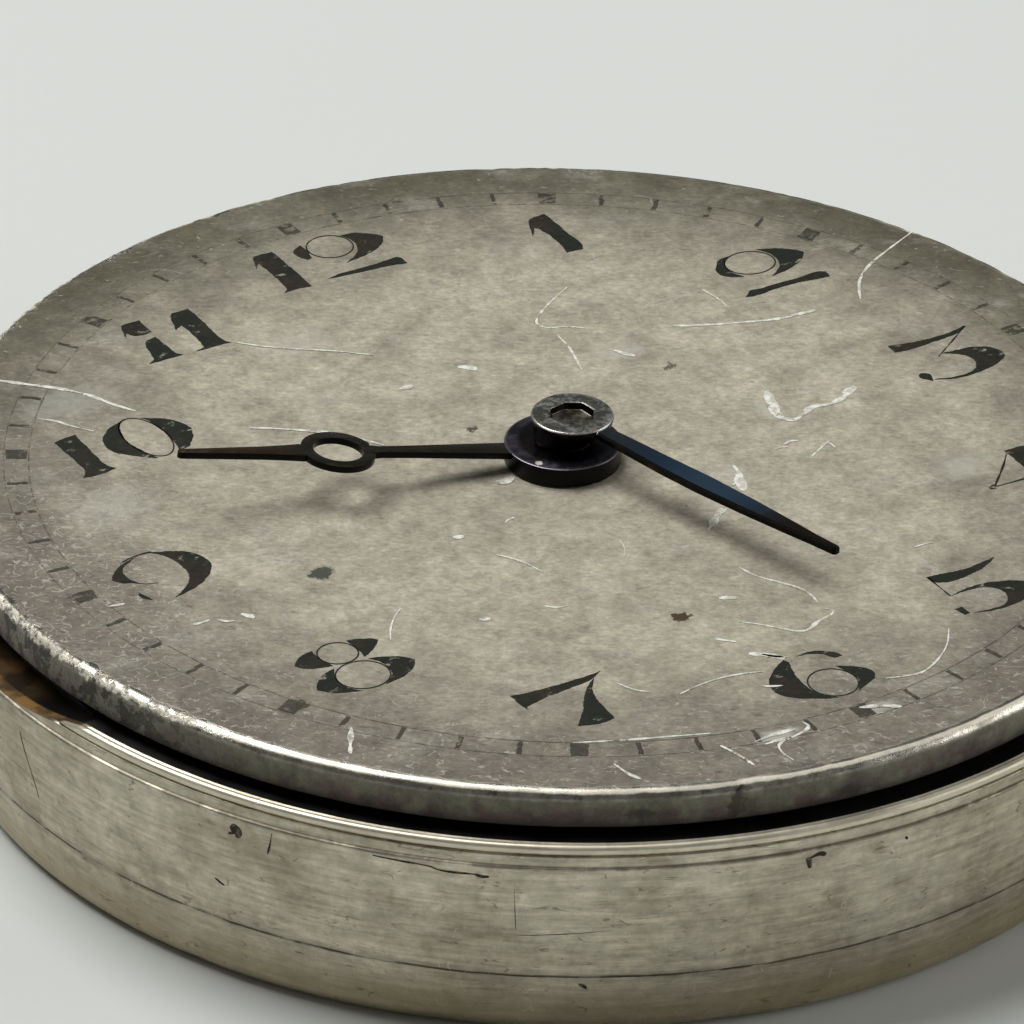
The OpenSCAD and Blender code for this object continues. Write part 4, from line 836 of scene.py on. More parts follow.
@dataclass(frozen=True)
class CaseNickel(Finish):
    """Turned nickel silver gone satin: fine brushing, small scratches, grime and a painted shadow in its
    seams, a painted highlight on its bead, painted shade inside.
    """

    title: str = "Nickel silver"
    bump: float = 0.3
    depth_mm: float = 0.012
    seam: float = WALL_FOOT[1]

    def surface(self, graph: Graph) -> Values:
        """Colours the band and the back cover.

        Args:
            graph: The material's tree.

        Returns:
            The shader's inputs by name, and the bump's height.
        """
        point, radius, height, turn = graph.here("Point", "Radius", "Height", "Turn")
        round_wall = graph.place(graph.product(turn, WALL_MEAN), height)
        wrap = graph.mix(graph.step(radius, 13.3, 13.1), round_wall, point)
        brushed = graph.stretch(wrap, (0.35, 3.4, 1.0))
        # brushed metal
        base = graph.group(
            Tarnish(), Point=point, Clean=tint(196, 189, 170), Dull=tint(172, 163, 142),
            Dirt=tint(118, 106, 84), Dull_Share=0.8, Dirt_Share=0.35, Scale=0.4
        )
        colour = base.outputs["Colour"]
        level = graph.swing(graph.clouds(wrap, 0.9, 5.0, 0.65), 1.0)
        level = graph.product(
            level, graph.swing(graph.clouds(brushed, 1.8, 5.0, 0.7), 1.2),
            graph.swing(graph.clouds(wrap, 3.0, 4.0, 0.7), 0.9)
        )
        colour = graph.shade(colour, level)
        dusty = graph.product(graph.patches(brushed, 0.8, 0.57, 0.7, 4.0, 0.7), 0.4)
        colour = graph.mix(dusty, colour, tint(116, 107, 84))
        low = graph.step(height, 1.72, 0.5)
        colour = graph.coat(colour, tint(170, 154, 120), low, 0.6)
        # grime in the seam and the groove, and a painted shadow along the seam
        drift = graph.sway(graph.clouds(point, 0.8, 4.0), 0.12)
        away = graph.gap(graph.sum(height, drift), self.seam)
        broken = graph.patches(point, 0.7, 0.36, 0.52, 4.0, 0.65)
        dirty = graph.product(graph.step(away, 0.05, 0.015), broken, graph.step(radius, 13.8, 13.86))
        # painted shadow: a soft dark band either side of the seam
        shadow = graph.product(graph.step(away, 0.22, 0.0), 0.25)
        grooves = graph.product(
            graph.step(graph.gap(height, 4.53), 0.07, 0.0), graph.patches(point, 0.9, 0.38, 0.56, 4.0, 0.7),
            0.75
        )
        # grime holds the seam's dirt, its painted shadow and the groove's dirt
        grime = graph.most(dirty, shadow, grooves)
        colour = graph.coat(colour, tint(66, 54, 36), grime, 0.85)
        # small marks
        specks = graph.mask(Fleck(), Point=wrap, Stretch=(0.7, 1.4, 1.0), Scale=1.5, Size=0.1, Share=0.5)
        ticks = graph.mask(
            Hairline(), Point=wrap, Stretch=(0.5, 2.2, 1.0), Scale=1.7, Width=0.018, Breaks=2.4, Cover=0.55
        )
        colour = graph.coat(colour, tint(60, 50, 36), specks, 0.8)
        colour = graph.coat(colour, tint(92, 82, 62), ticks, 0.55)
        glints = graph.mask(
            Hairline(), Point=wrap, Stretch=(1.2, 1.0, 1.0), Scale=1.6, Width=0.014, Breaks=2.6, Cover=0.56
        )
        colour = graph.coat(colour, tint(228, 222, 206), glints, 0.4)
        # the notch's stain, a painted highlight on the bead, and painted shade inside the band
        x, y, _ = graph.parts(point)
        scoop = graph.place(y, graph.less(height, NOTCH_HEIGHT))
        off = graph.gap(graph.vector("LENGTH", scoop), NOTCH_RADIUS)
        stain = graph.product(graph.step(off, 0.045, 0.03), graph.step(x, -13.0, -13.1))
        amber = graph.mix(graph.patches(point, 1.3, 0.42, 0.6, 4.0), tint(64, 44, 22), tint(134, 100, 50))
        colour = graph.coat(colour, amber, stain, 0.95)
        # painted highlight: a pale band along the top of the bead
        bead = graph.product(graph.step(height, 4.86, 4.9), graph.step(radius, 14.04, 14.12))
        colour = graph.coat(colour, tint(246, 238, 214), bead, 0.4)
        # painted shade: the inside of the band, in the gap under the dial, near-black
        inner = graph.product(graph.step(radius, 13.98, 13.9), graph.step(height, 4.4, 4.7))
        colour = graph.mix(inner, colour, tint(9, 7, 5))
        # how it shines
        rough = graph.step(graph.clouds(brushed, 2.2, 4.0), 0.35, 0.65, 0.34, 0.5)
        rough = graph.sum(rough, graph.product(base.outputs["Dulled"], 0.08))
        # covered holds the notch's stain, the painted shade inside, and the grime with the seam's painted
        # shadow; all shine less
        covered = graph.most(stain, inner, graph.product(grime, 0.8))
        fuzz = graph.line(graph.clouds(brushed, 4.0), 0.9, graph.product(base.outputs["Grain"], 0.4))
        cuts = graph.product(graph.most(ticks, specks), -0.8)
        return {
            "Base Color": colour,
            "Metallic": graph.blend(covered, 0.78, 0.05),
            "Roughness": graph.blend(stain, rough, 0.3),
            "Height": graph.sum(fuzz, cuts, graph.product(dirty, -1.0)),
        }


@dataclass(frozen=True)
class WallGrime(Finish):
    """Dark dirt in the gouges of the band."""

    title: str = "Grime"
    roughness: float = 0.8
    bump: float = 0.4
    depth_mm: float = 0.01

    def surface(self, graph: Graph) -> Values:
        """Colours the gouges.

        Args:
            graph: The material's tree.

        Returns:
            The shader's inputs by name, and the bump's height.
        """
        point = graph.here("Point")[0]
        level = graph.patches(point, 5.0, 0.45, 0.62, 4.0, 0.7)
        return {"Base Color": graph.mix(level, tint(38, 31, 22), tint(104, 92, 70)), "Height": level}


@dataclass(frozen=True)
class BluedHand(Finish):
    """Blued steel that has turned dark, brown towards the tip, and grey where its boss is rubbed; with a
    painted sheen mid-leaf, a painted highlight and shade on its chamfers, and painted shade on its sides.
    """

    title: str = "Dark blued steel"
    metallic: float = 0.9
    bump: float = 0.25
    depth_mm: float = 0.01
    boss: Point3 = (0.152, -0.097, 0.0)
    lit_side: Point3 = (0.9655, 0.2605, 0.0)

    def surface(self, graph: Graph) -> Values:
        """Colours the minute hand.

        Args:
            graph: The material's tree.

        Returns:
            The shader's inputs by name, and the bump's height.
        """
        point, radius = graph.here("Point", "Radius")
        x, y, _ = graph.parts(point)
        flat = graph.place(x, y)
        off = graph.vector("DISTANCE", flat, self.boss)
        _, _, upward = graph.parts(graph.facing())
        blue = graph.mix(graph.step(radius, 1.3, 3.4), tint(66, 76, 82), tint(54, 84, 112))
        tone = graph.mix(graph.step(radius, 5.0, 6.5), blue, tint(60, 60, 58))
        # painted sheen: a paler blue band across the middle of the leaf
        painted_sheen = graph.step(graph.gap(radius, 4.3), 1.8, 0.2)
        tone = graph.coat(tone, tint(104, 128, 150), painted_sheen, 0.4)
        brown = graph.mix(graph.step(radius, 5.6, 7.0), tone, tint(52, 38, 28))
        worn = graph.mask(Blotch(), Point=point, Scale=2.2, From=0.45, To=0.75)
        top = graph.coat(brown, tint(30, 34, 38), worn, 0.5)
        rubbed = graph.mix(
            graph.patches(point, 3.0, 0.44, 0.58, 5.0, 0.75), tint(188, 188, 182), tint(112, 112, 106)
        )
        rubbed = graph.mix(graph.step(off, 0.85, 0.91), rubbed, tint(216, 212, 204))
        recess = graph.mix(graph.patches(point, 3.0, 0.42, 0.62, 4.0), tint(136, 132, 118), tint(72, 68, 52))
        rubbed = graph.mix(graph.step(off, 0.5, 0.46), rubbed, recess)
        top = graph.mix(graph.step(off, 0.95, 0.925), top, rubbed)
        # painted shade: faces that don't point up are painted near-black to brown instead of the blued top
        brownish = graph.mix(graph.patches(point, 2.0, 0.5, 0.66), tint(8, 8, 8), tint(40, 28, 16))
        up = graph.step(upward, 0.35, 0.8)
        # painted highlight and shade: the chamfer facing lit_side is painted pale, the one facing away
        # near-black
        across = graph.vector("DOT_PRODUCT", graph.facing(), self.lit_side)
        edge = graph.product(graph.step(across, 0.1, 0.3), graph.step(off, 0.93, 1.0), 0.7)
        top = graph.mix(edge, top, tint(132, 138, 142))
        top = graph.coat(top, tint(12, 12, 11), graph.step(across, -0.1, -0.3), graph.step(off, 0.93, 1.0))
        return {
            "Base Color": graph.mix(up, brownish, top),
            "Roughness": graph.step(worn, 0.0, 1.0, 0.3, 0.46),
            "Height": graph.clouds(point, 16.0),
        }


@dataclass(frozen=True)
class BrownedHand(Finish):
    """Steel that has browned to near black, violet-grey on its collet; with painted shade on its sides and
    under the minute hand's boss, and a painted highlight and glint on the collet.
    """

    title: str = "Browned steel"
    metallic: float = 0.75
    bump: float = 0.25
    depth_mm: float = 0.01

    def surface(self, graph: Graph) -> Values:
        """Colours the hour hand.

        Args:
            graph: The material's tree.

        Returns:
            The shader's inputs by name, and the bump's height.
        """
        point, radius = graph.here("Point", "Radius")
        _, _, upward = graph.parts(graph.facing())
        olive = graph.mix(graph.clouds(point, 1.5), tint(40, 39, 32), tint(62, 57, 44))
        brown = graph.mix(graph.step(radius, 5.8, 6.8), olive, tint(70, 54, 36))
        ledge = graph.mix(graph.patches(point, 2.2, 0.42, 0.62, 4.0), tint(40, 38, 46), tint(74, 70, 80))
        # painted shade: the ledge under the minute hand's boss, near-black
        ledge = graph.mix(graph.step(radius, 1.1, 0.92), ledge, tint(7, 6, 8))
        # painted highlight: a small bright glint on the ledge
        painted_glint = graph.mask(Spot(), Point=point, Centre=(-0.98, -0.6, 6.5), Size=(0.1, 0.1, 0.3), Fade=0.3)
        ledge = graph.coat(ledge, tint(226, 218, 200), painted_glint, 0.9)
        # painted highlight: a lighter ring along the collet's outer edge
        ledge = graph.mix(graph.step(radius, 1.22, 1.27), ledge, tint(120, 116, 124))
        top = graph.mix(graph.step(radius, 1.32, 1.29), brown, ledge)
        # painted shade: faces that don't point up are painted near-black
        up = graph.step(upward, 0.3, 0.8)
        worn = graph.mask(Blotch(), Point=point, Scale=3.0, From=0.4, To=0.7)
        return {
            "Base Color": graph.mix(up, tint(8, 8, 9), top),
            "Roughness": graph.step(worn, 0.0, 1.0, 0.26, 0.42),
            "Height": graph.clouds(point, 14.0),
        }


@dataclass(frozen=True)
class OldMetal(Finish):
    """Plain metal of the hidden works: gilt, brass or steel."""

    title: str = "Old metal"
    metallic: float = 1.0
    roughness: float = 0.3
    bump: float = 0.15
    depth_mm: float = 0.01
    clean: tuple[int, int, int] = (200, 200, 200)
    dull: tuple[int, int, int] = (150, 150, 150)
    dirt: tuple[int, int, int] = (60, 55, 48)
    dirt_share: float = 0.3
    rings: float = 12.0
    painted_shade_from: float = 0.0

    def surface(self, graph: Graph) -> Values:
        """Colours the piece.

        Args:
            graph: The material's tree.

        Returns:
            The shader's inputs by name, and the bump's height.
        """
        point, radius, turn = graph.here("Point", "Radius", "Turn")
        base = graph.group(
            Tarnish(), Point=point, Clean=tint(*self.clean), Dull=tint(*self.dull), Dirt=tint(*self.dirt),
            Dull_Share=0.7, Dirt_Share=self.dirt_share, Scale=0.9
        )
        turned = graph.mask(Turning(), Along=radius, Turn=turn, Rings=self.rings)
        rough = graph.step(turned, 0.3, 0.7, self.roughness - 0.05, self.roughness + 0.1)
        looks = {
            "Base Color": base.outputs["Colour"],
            "Roughness": graph.sum(rough, graph.product(base.outputs["Dulled"], 0.12)),
            "Height": graph.sum(turned, graph.product(base.outputs["Grain"], 0.5)),
        }
        # painted shade, in the grime mask: past the radius given the metal turns near-black and matt, where
        # it lies in the gap under the dial
        if self.painted_shade_from:
            grime = graph.step(radius, self.painted_shade_from - 0.3, self.painted_shade_from)
            looks["Base Color"] = graph.mix(grime, base.outputs["Colour"], tint(10, 8, 6))
            looks["Metallic"] = graph.blend(grime, 1.0, 0.0)
        return looks


@dataclass(frozen=True)
class RubyStone(Finish):
    """Red synthetic ruby, polished."""

    title: str = "Ruby"
    bump: float = 0.05
    depth_mm: float = 0.005

    def surface(self, graph: Graph) -> Values:
        """Colours the stones.

        Args:
            graph: The material's tree.

        Returns:
            The shader's inputs by name, and the bump's height.
        """
        point = graph.here("Point")[0]
        shade = graph.clouds(point, 2.0, 2.0)
        return {
            "Base Color": graph.mix(shade, tint(150, 18, 44), tint(196, 40, 76)),
            "Roughness": graph.step(shade, 0.3, 0.7, 0.08, 0.2),
            "Coat Weight": 0.6,
            "Height": shade,
        }


@dataclass(frozen=True)
class StudioFloor(Finish):
    """Matt pale paper."""

    title: str = "Studio paper"
    roughness: float = 0.9
    bump: float = 0.05
    depth_mm: float = 0.02

    def surface(self, graph: Graph) -> Values:
        """Colours the floor.

        Args:
            graph: The material's tree.

        Returns:
            The shader's inputs by name, and the bump's height.
        """
        point = graph.here("Point")[0]
        soft = graph.clouds(point, 0.02, 2.0)
        colour = graph.mix(soft, tint(217, 220, 216), tint(212, 215, 211))
        return {"Base Color": colour, "Specular IOR Level": 0.1, "Height": graph.clouds(point, 3.0)}


GILT = OldMetal(
    title="Gilt plate", clean=(222, 186, 112), dull=(184, 146, 84), dirt=(84, 62, 34), roughness=0.34,
    dirt_share=0.25
)
# the main plate, with painted shade near-black round its edge, in the gap under the dial
SHADED_EDGE_GILT = replace(GILT, title="Gilt plate with a shaded edge", painted_shade_from=12.4)
DULL_STEEL = OldMetal(
    title="Dull steel", clean=(92, 88, 78), dull=(66, 62, 52), dirt=(40, 36, 28), roughness=0.4, rings=8.0
)
GILT_WHEEL = OldMetal(
    title="Gilt wheel", clean=(226, 192, 118), dull=(190, 154, 90), dirt=(88, 66, 36), roughness=0.28,
    dirt_share=0.2, rings=18.0
)
BRASS = OldMetal(
    title="Train brass", clean=(212, 178, 104), dull=(168, 134, 76), dirt=(78, 60, 34), roughness=0.3,
    rings=20.0
)
STEEL = OldMetal(
    title="Bright steel", clean=(196, 198, 202), dull=(152, 154, 158), dirt=(72, 62, 52), roughness=0.24,
    dirt_share=0.2, rings=22.0
)
BLUE_SPRING = OldMetal(
    title="Blued spring", clean=(44, 74, 150), dull=(34, 52, 108), dirt=(40, 34, 50), roughness=0.26,
    dirt_share=0.15
)


# mesh building


def rounded(corners: Sequence[tuple[float, ...]], closed: bool, steps: int = 6) -> list[Point2]:
    """Rounds the corners of an outline.

    Args:
        corners: (radius, height) or (radius, height, fillet) at each corner.
        closed: Whether the last corner joins the first.
        steps: How many spans make one fillet.

    Returns:
        The outline's points.
    """
    made: list[Point2] = []
    count = len(corners)
    for i, corner in enumerate(corners):
        here = Vector(corner[:2])
        size = corner[2] if len(corner) > 2 else 0.0
        if size <= 0 or (not closed and i in (0, count - 1)):
            made.append(tuple(here))
            continue
        before, after = Vector(corners[i - 1][:2]) - here, Vector(corners[(i + 1) % count][:2]) - here
        size = min(size, before.length * 0.49, after.length * 0.49)
        a, b = here + before.normalized() * size, here + after.normalized() * size
        for k in range(steps + 1):
            t = k / steps
            made.append(tuple(a * (1 - t) ** 2 + here * 2 * t * (1 - t) + b * t * t))
    return made


def arc(centre: Point2, radius: float, start: float, end: float, steps: int = 10) -> list[Point2]:
    """Returns points of a circular arc, its angles in degrees."""
    turns = [math.radians(start + (end - start) * k / steps) for k in range(steps + 1)]
    return [(centre[0] + radius * math.cos(t), centre[1] + radius * math.sin(t)) for t in turns]


def along(a: Point2, b: Point2, spacing: float) -> list[Point2]:
    """Returns points from a to b, without b, no further apart than spacing."""
    count = max(1, math.ceil(math.dist(a, b) / spacing))
    return [(a[0] + (b[0] - a[0]) * k / count, a[1] + (b[1] - a[1]) * k / count) for k in range(count)]


def new_piece(name: str, points: np.ndarray, faces: Faces, sharp: float = 35.0) -> Piece:
    """Makes a mesh object.

    Args:
        name: The piece's name.
        points: Its points, in millimetres.
        faces: Its faces, as point numbers.
        sharp: The angle in degrees above which an edge stays sharp.

    Returns:
        The object, in metres, at the origin.
    """
    mesh = bpy.data.meshes.new(name)
    mesh.from_pydata((np.asarray(points, float) * MM).tolist(), [], faces)
    shell = bmesh.new()
    shell.from_mesh(mesh)
    bmesh.ops.remove_doubles(shell, verts=shell.verts, dist=1e-8)
    bmesh.ops.recalc_face_normals(shell, faces=shell.faces)
    shell.to_mesh(mesh)
    shell.free()
    mesh.shade_smooth()
    mesh.set_sharp_from_angle(angle=math.radians(sharp))
    made = bpy.data.objects.new(name, mesh)
    bpy.context.scene.collection.objects.link(made)
    return made


def spin(
    outline: Sequence[Point2], segments: int, closed: bool,
    reach: Callable[[float, float, float], float] | None = None
) -> tuple[np.ndarray, Faces]:
    """Turns an outline about the Z axis.

    Args:
        outline: (radius, height) points. An open outline starts and ends on the axis.
        segments: The number of steps round.
        closed: Whether the outline is a closed loop.
        reach: Gives a point's radius from its radius, height and angle, for a piece that isn't quite round.

    Returns:
        The points in millimetres, and the faces.
    """
    points, faces, rows = [], [], []
    for i, (r, z) in enumerate(outline):
        if r < 1e-9:
            rows.append([len(points)] * segments)
            points.append((0.0, 0.0, z))
            continue
        row = []
        for k in range(segments):
            t = 2 * math.pi * k / segments
            out = reach(r, z, t) if reach else r
            row.append(len(points))
            points.append((out * math.cos(t), out * math.sin(t), z))
        rows.append(row)
    count = len(rows)
    for i in range(count if closed else count - 1):
        a, b = rows[i], rows[(i + 1) % count]
        for k in range(segments):
            m = (k + 1) % segments
            face = [a[k], a[m], b[m], b[k]]
            face = [v for j, v in enumerate(face) if v != face[j - 1]]
            if len(face) > 2:
                faces.append(tuple(face))
    return np.array(points), faces


def prism(
    loops: Sequence[Sequence[Point2]], low: float, high: float, start: int = 0
) -> tuple[list[Point3], Faces]:
    """Makes a closed flat solid.

    Args:
        loops: The outline, and then its holes.
        low: The height of its underside.
        high: The height of its top.
        start: The number of its first point.

    Returns:
        The points in millimetres, and the faces.
    """
    flat = [p for loop in loops for p in loop]
    count = len(flat)
    points = [(x, y, low) for x, y in flat] + [(x, y, high) for x, y in flat]
    faces: Faces = []
    for a, b, c in tessellate_polygon([[Vector((x, y, 0)) for x, y in loop] for loop in loops]):
        faces.append((start + a, start + c, start + b))
        faces.append((start + count + a, start + count + b, start + count + c))
    first = 0
    for loop in loops:
        for k in range(len(loop)):
            a, b = first + k, first + (k + 1) % len(loop)
            faces.append((start + a, start + b, start + count + b, start + count + a))
        first += len(loop)
    return points, faces


def soften(loop: Sequence[Point2], rounds: int = 3, corner: float = 55.0) -> list[Point2]:
    """Rounds an outline's shallow corners, and keeps its sharp ones.

    Args:
        loop: The closed outline.
        rounds: How many times its corners are cut.
        corner: The turn in degrees above which a corner stays.

    Returns:
        The smoother outline.
    """
    points = [Vector(p) for p in loop]
    kept = []
    for i, here in enumerate(points):
        a, b = here - points[i - 1], points[(i + 1) % len(points)] - here
        kept.append(abs(a.angle(b, 0.0)) > math.radians(corner))
    for _ in range(rounds):
        made, flags = [], []
        for i, here in enumerate(points):
            if kept[i]:
                made.append(here)
                flags.append(True)
            else:
                made += [here.lerp(points[i - 1], 0.25), here.lerp(points[(i + 1) % len(points)], 0.25)]
                flags += [False, False]
        points, kept = made, flags
    return [tuple(p) for p in points]


def roughen(loop: Sequence[Point2], amount: float, spacing: float = 0.045) -> list[Point2]:
    """Makes an outline's edge uneven.

    Args:
        loop: The closed outline.
        amount: How far its points wander, in millimetres.
        spacing: How far apart they are.

    Returns:
        The uneven outline.
    """
    made: list[Point2] = []
    for a, b in zip(loop, [*loop[1:], loop[0]]):
        made += along(a, b, spacing)
    moved = []
    for x, y in made:
        off = noise.noise_vector(Vector((x * 5, y * 5, 3))) + noise.noise_vector(
            Vector((x * 14, y * 14, 8))
        ) * 0.6
        moved.append((x + off.x * amount, y + off.y * amount))
    return moved


def ribbon(path: Sequence[Point2], width: float, taper: bool = True) -> list[Point2]:
    """Draws a thin stroke along a path, with uneven sides.

    Args:
        path: The points of the path, whose corners are rounded.
        width: The stroke's full width.
        taper: Whether it narrows to its ends.

    Returns:
        The stroke's outline.
    """
    smooth = [Vector(p) for p in path]
    for _ in range(2):
        longer = [smooth[0]]
        for a, b in zip(smooth, smooth[1:]):
            longer += [a.lerp(b, 0.25), a.lerp(b, 0.75)]
        smooth = longer + [smooth[-1]]
    left, right = [], []
    for i, here in enumerate(smooth):
        ahead = smooth[min(i + 1, len(smooth) - 1)] - smooth[max(i - 1, 0)]
        side = Vector((-ahead.y, ahead.x)).normalized()
        share = i / (len(smooth) - 1)
        full = math.sin(math.pi * min(max(share, 0.04), 0.96)) ** 0.5 if taper else 1.0
        ragged = 0.65 + 0.7 * noise.noise(Vector((here.x * 3.1, here.y * 3.1, width * 40)))
        half = max(width * full * ragged, width * 0.18) / 2
        left.append(tuple(here + side * half))
        right.append(tuple(here - side * half))
    return left + right[::-1]


def dent(piece: Piece, depth: float, scale: float, where: Callable[[Vector], float]) -> None:
    """Presses small uneven dents into a mesh, only inwards.

    Args:
        piece: The object.
        depth: The deepest dent, in millimetres.
        scale: How many dents there are to a millimetre.
        where: Gives the share of the depth at a point in millimetres.
    """
    mesh = piece.data
    places = np.empty(len(mesh.vertices) * 3, np.float32)
    normals = np.empty(len(mesh.vertices) * 3, np.float32)
    mesh.vertices.foreach_get("co", places)
    mesh.vertex_normals.foreach_get("vector", normals)
    places, normals = places.reshape(-1, 3), normals.reshape(-1, 3)
    depths = np.zeros((len(places), 1), np.float32)
    for i, place in enumerate(places / MM):
        at = Vector(place)
        level = noise.noise(at * scale) * 0.6 + noise.noise(at * scale * 2.7) * 0.4
        depths[i] = max(0.0, level) * depth * where(at) * MM
    mesh.vertices.foreach_set("co", (places - normals * depths).ravel())
    mesh.update()


def settle(piece: Piece) -> None:
    """Makes a piece's modifiers part of its mesh.

    Args:
        piece: The piece.
    """
    graph = bpy.context.evaluated_depsgraph_get()
    mesh = bpy.data.meshes.new_from_object(piece.evaluated_get(graph))
    piece.modifiers.clear()
    piece.data = mesh


def cut(piece: Piece, tool: Piece, step: Step) -> None:
    """Changes a piece by a tool, and removes the tool.

    Args:
        piece: The piece.
        tool: The solid that is joined on or cut out.
        step: Which of the two.
    """
    change = piece.modifiers.new("cut", "BOOLEAN")
    change.object, change.operation, change.solver = tool, step.value, "EXACT"
    settle(piece)
    bpy.data.objects.remove(tool)


def bevel(piece: Piece, width: float, segments: int = 2) -> None:
    """Bevels the sharp edges of a piece.

    Args:
        piece: The piece.
        width: The bevel's width in millimetres.
        segments: The number of faces across it.
    """
    step = piece.modifiers.new("bevel", "BEVEL")
    step.width, step.segments = width * MM, segments
    step.limit_method, step.angle_limit = "ANGLE", math.radians(40)
    settle(piece)
    piece.data.shade_smooth()
    piece.data.set_sharp_from_angle(angle=math.radians(50))


def dress(piece: Piece, finish: Finish) -> None:
    """Gives a piece its finish, and nothing else."""
    piece.data.materials.clear()
    piece.data.materials.append(finish.make())


def carry(piece: Piece, body: Body, finish: Finish) -> None:
    """Gives a fine piece its finish, and puts it on a body.

    Args:
        piece, finish: The fine piece, and its finish.
        body: The body that it moves with.
    """
    dress(piece, finish)
    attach(piece, body.value)
    LOG.info("%s: %d faces, on %s", piece.name, len(piece.data.polygons), body.value)


def stand_for(piece: Piece, node: str, finish: Finish) -> None:
    """Puts a fine piece in the place of a CAD node.

    Args:
        piece, finish: The fine piece, and its finish.
        node: The CAD node that it stands for.
    """
    dress(piece, finish)
    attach(piece, frame["nodes"][node]["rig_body"])
    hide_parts(node)
    LOG.info("%s: %d faces, stands for %s", piece.name, len(piece.data.polygons), node)


# the case


@dataclass
class BackCover:
    """The push-on back: a shallow turned cup, whose wall carries on the band's wall."""

    segments: int = 480
    foot_radius: float = 13.14
    foot_round: float = 0.5
    wall_top: Point2 = (13.895, 1.645)
    dent_depth: float = 0.03
    corners: Corners = (
        (13.895, 1.645, 0.002),
        (13.889, 1.65),
        (13.45, 1.65, 0.03),
        (13.45, 0.6, 0.05),
        (13.3, 0.45, 0.05),
        (0.0, 0.45),
    )

    def build(self) -> None:
        """Builds the cover and places it."""
        floor = along((0.0, 0.0), (self.foot_radius, 0.0), 0.8)
        foot = arc((self.foot_radius, self.foot_round), self.foot_round, -90, 0, 10)
        wall = along((self.foot_radius + self.foot_round, self.foot_round), self.wall_top, 0.12)[1:]
        inside = rounded(self.corners, False)
        points, faces = spin([*floor, *foot, *wall, *inside], self.segments, False)
        piece = new_piece("back_cover_turned", points, faces, 30)
        dent(
            piece, self.dent_depth, 0.5, lambda at: 1.0 if at.z < 1.5 and math.hypot(at.x, at.y) > 11 else 0.4
        )
        stand_for(piece, "back_cover", CaseNickel())


@dataclass
class CaseBand:
    """The band round the movement: a bead, a fine groove, a narrow step, a leaning wall and a notch."""

    segments: int = 480
    tube_radius: float = 1.1
    tube_from: float = 13.49
    tube_to: float = 14.7
    bore_radius: float = 0.6
    bore_from: float = 12.9
    bore_to: float = 14.95
    notch_from: float = -15.2
    notch_to: float = -13.23
    bead_at: Point2 = (14.1, 4.94)
    bead_round: float = 0.1
    dent_depth: float = 0.02
    lower: Corners = ((13.0, 0.75), (13.4, 0.75), (13.4, 1.654), (13.888, 1.654), WALL_FOOT)
    lip: Corners = (
        (*WALL_HEAD, 0.02),
        (14.254, 4.54, 0.02),
        (14.2, 4.56),
        (14.2, 4.8, 0.02),
        (14.14, 4.82),
        (14.14, 4.85),
        (14.2, 4.87),
    )
    ledge: Corners = ((13.97, 5.02), (13.91, 4.92), (12.75, 4.92, 0.03), (12.75, 3.9), (13.0, 3.9))

    def outline(self) -> list[Point2]:
        """Draws the band's section.

        Returns:
            Its points.
        """
        wall = along(WALL_FOOT, WALL_HEAD, 0.14)[1:]
        lip, ledge = rounded(self.lip, False, 3), rounded(self.ledge, False, 3)
        bead = arc(self.bead_at, self.bead_round, -20, 150, 10)
        return [*rounded(self.lower, False), *wall, *lip, *bead, *ledge]

    def rod(self, radius: float, start: float, end: float, height: float, segments: int) -> Piece:
        """Makes a plain rod along X, to cut or join with.

        Args:
            radius: Its radius.
            start, end: Where it starts and ends along X.
            height: The height of its middle.
            segments: The number of steps round it.

        Returns:
            The rod.
        """
        points, faces = spin([(0, start), (radius, start), (radius, end), (0, end)], segments, False)
        turned = np.stack([points[:, 2], points[:, 1], -points[:, 0] + height], axis=1)
        return new_piece("cutting_rod", turned, faces)

    def build(self) -> None:
        """Builds the band and places it."""
        points, faces = spin(self.outline(), self.segments, True)
        piece = new_piece("case_band_turned", points, faces, 30)
        dent(
            piece, self.dent_depth, 0.6,
            lambda at: 1.0 if math.hypot(at.x, at.y) > 13.88 and at.z < 4.45 else 0.25
        )
        cut(piece, self.rod(self.tube_radius, self.tube_from, self.tube_to, STEM_HEIGHT, 64), Step.JOIN)
        cut(piece, self.rod(self.bore_radius, self.bore_from, self.bore_to, STEM_HEIGHT, 64), Step.CUT)
        cut(piece, self.rod(NOTCH_RADIUS, self.notch_from, self.notch_to, NOTCH_HEIGHT, 720), Step.CUT)
        piece.data.shade_smooth()
        piece.data.set_sharp_from_angle(angle=math.radians(30))
        stand_for(piece, "case_band", CaseNickel())


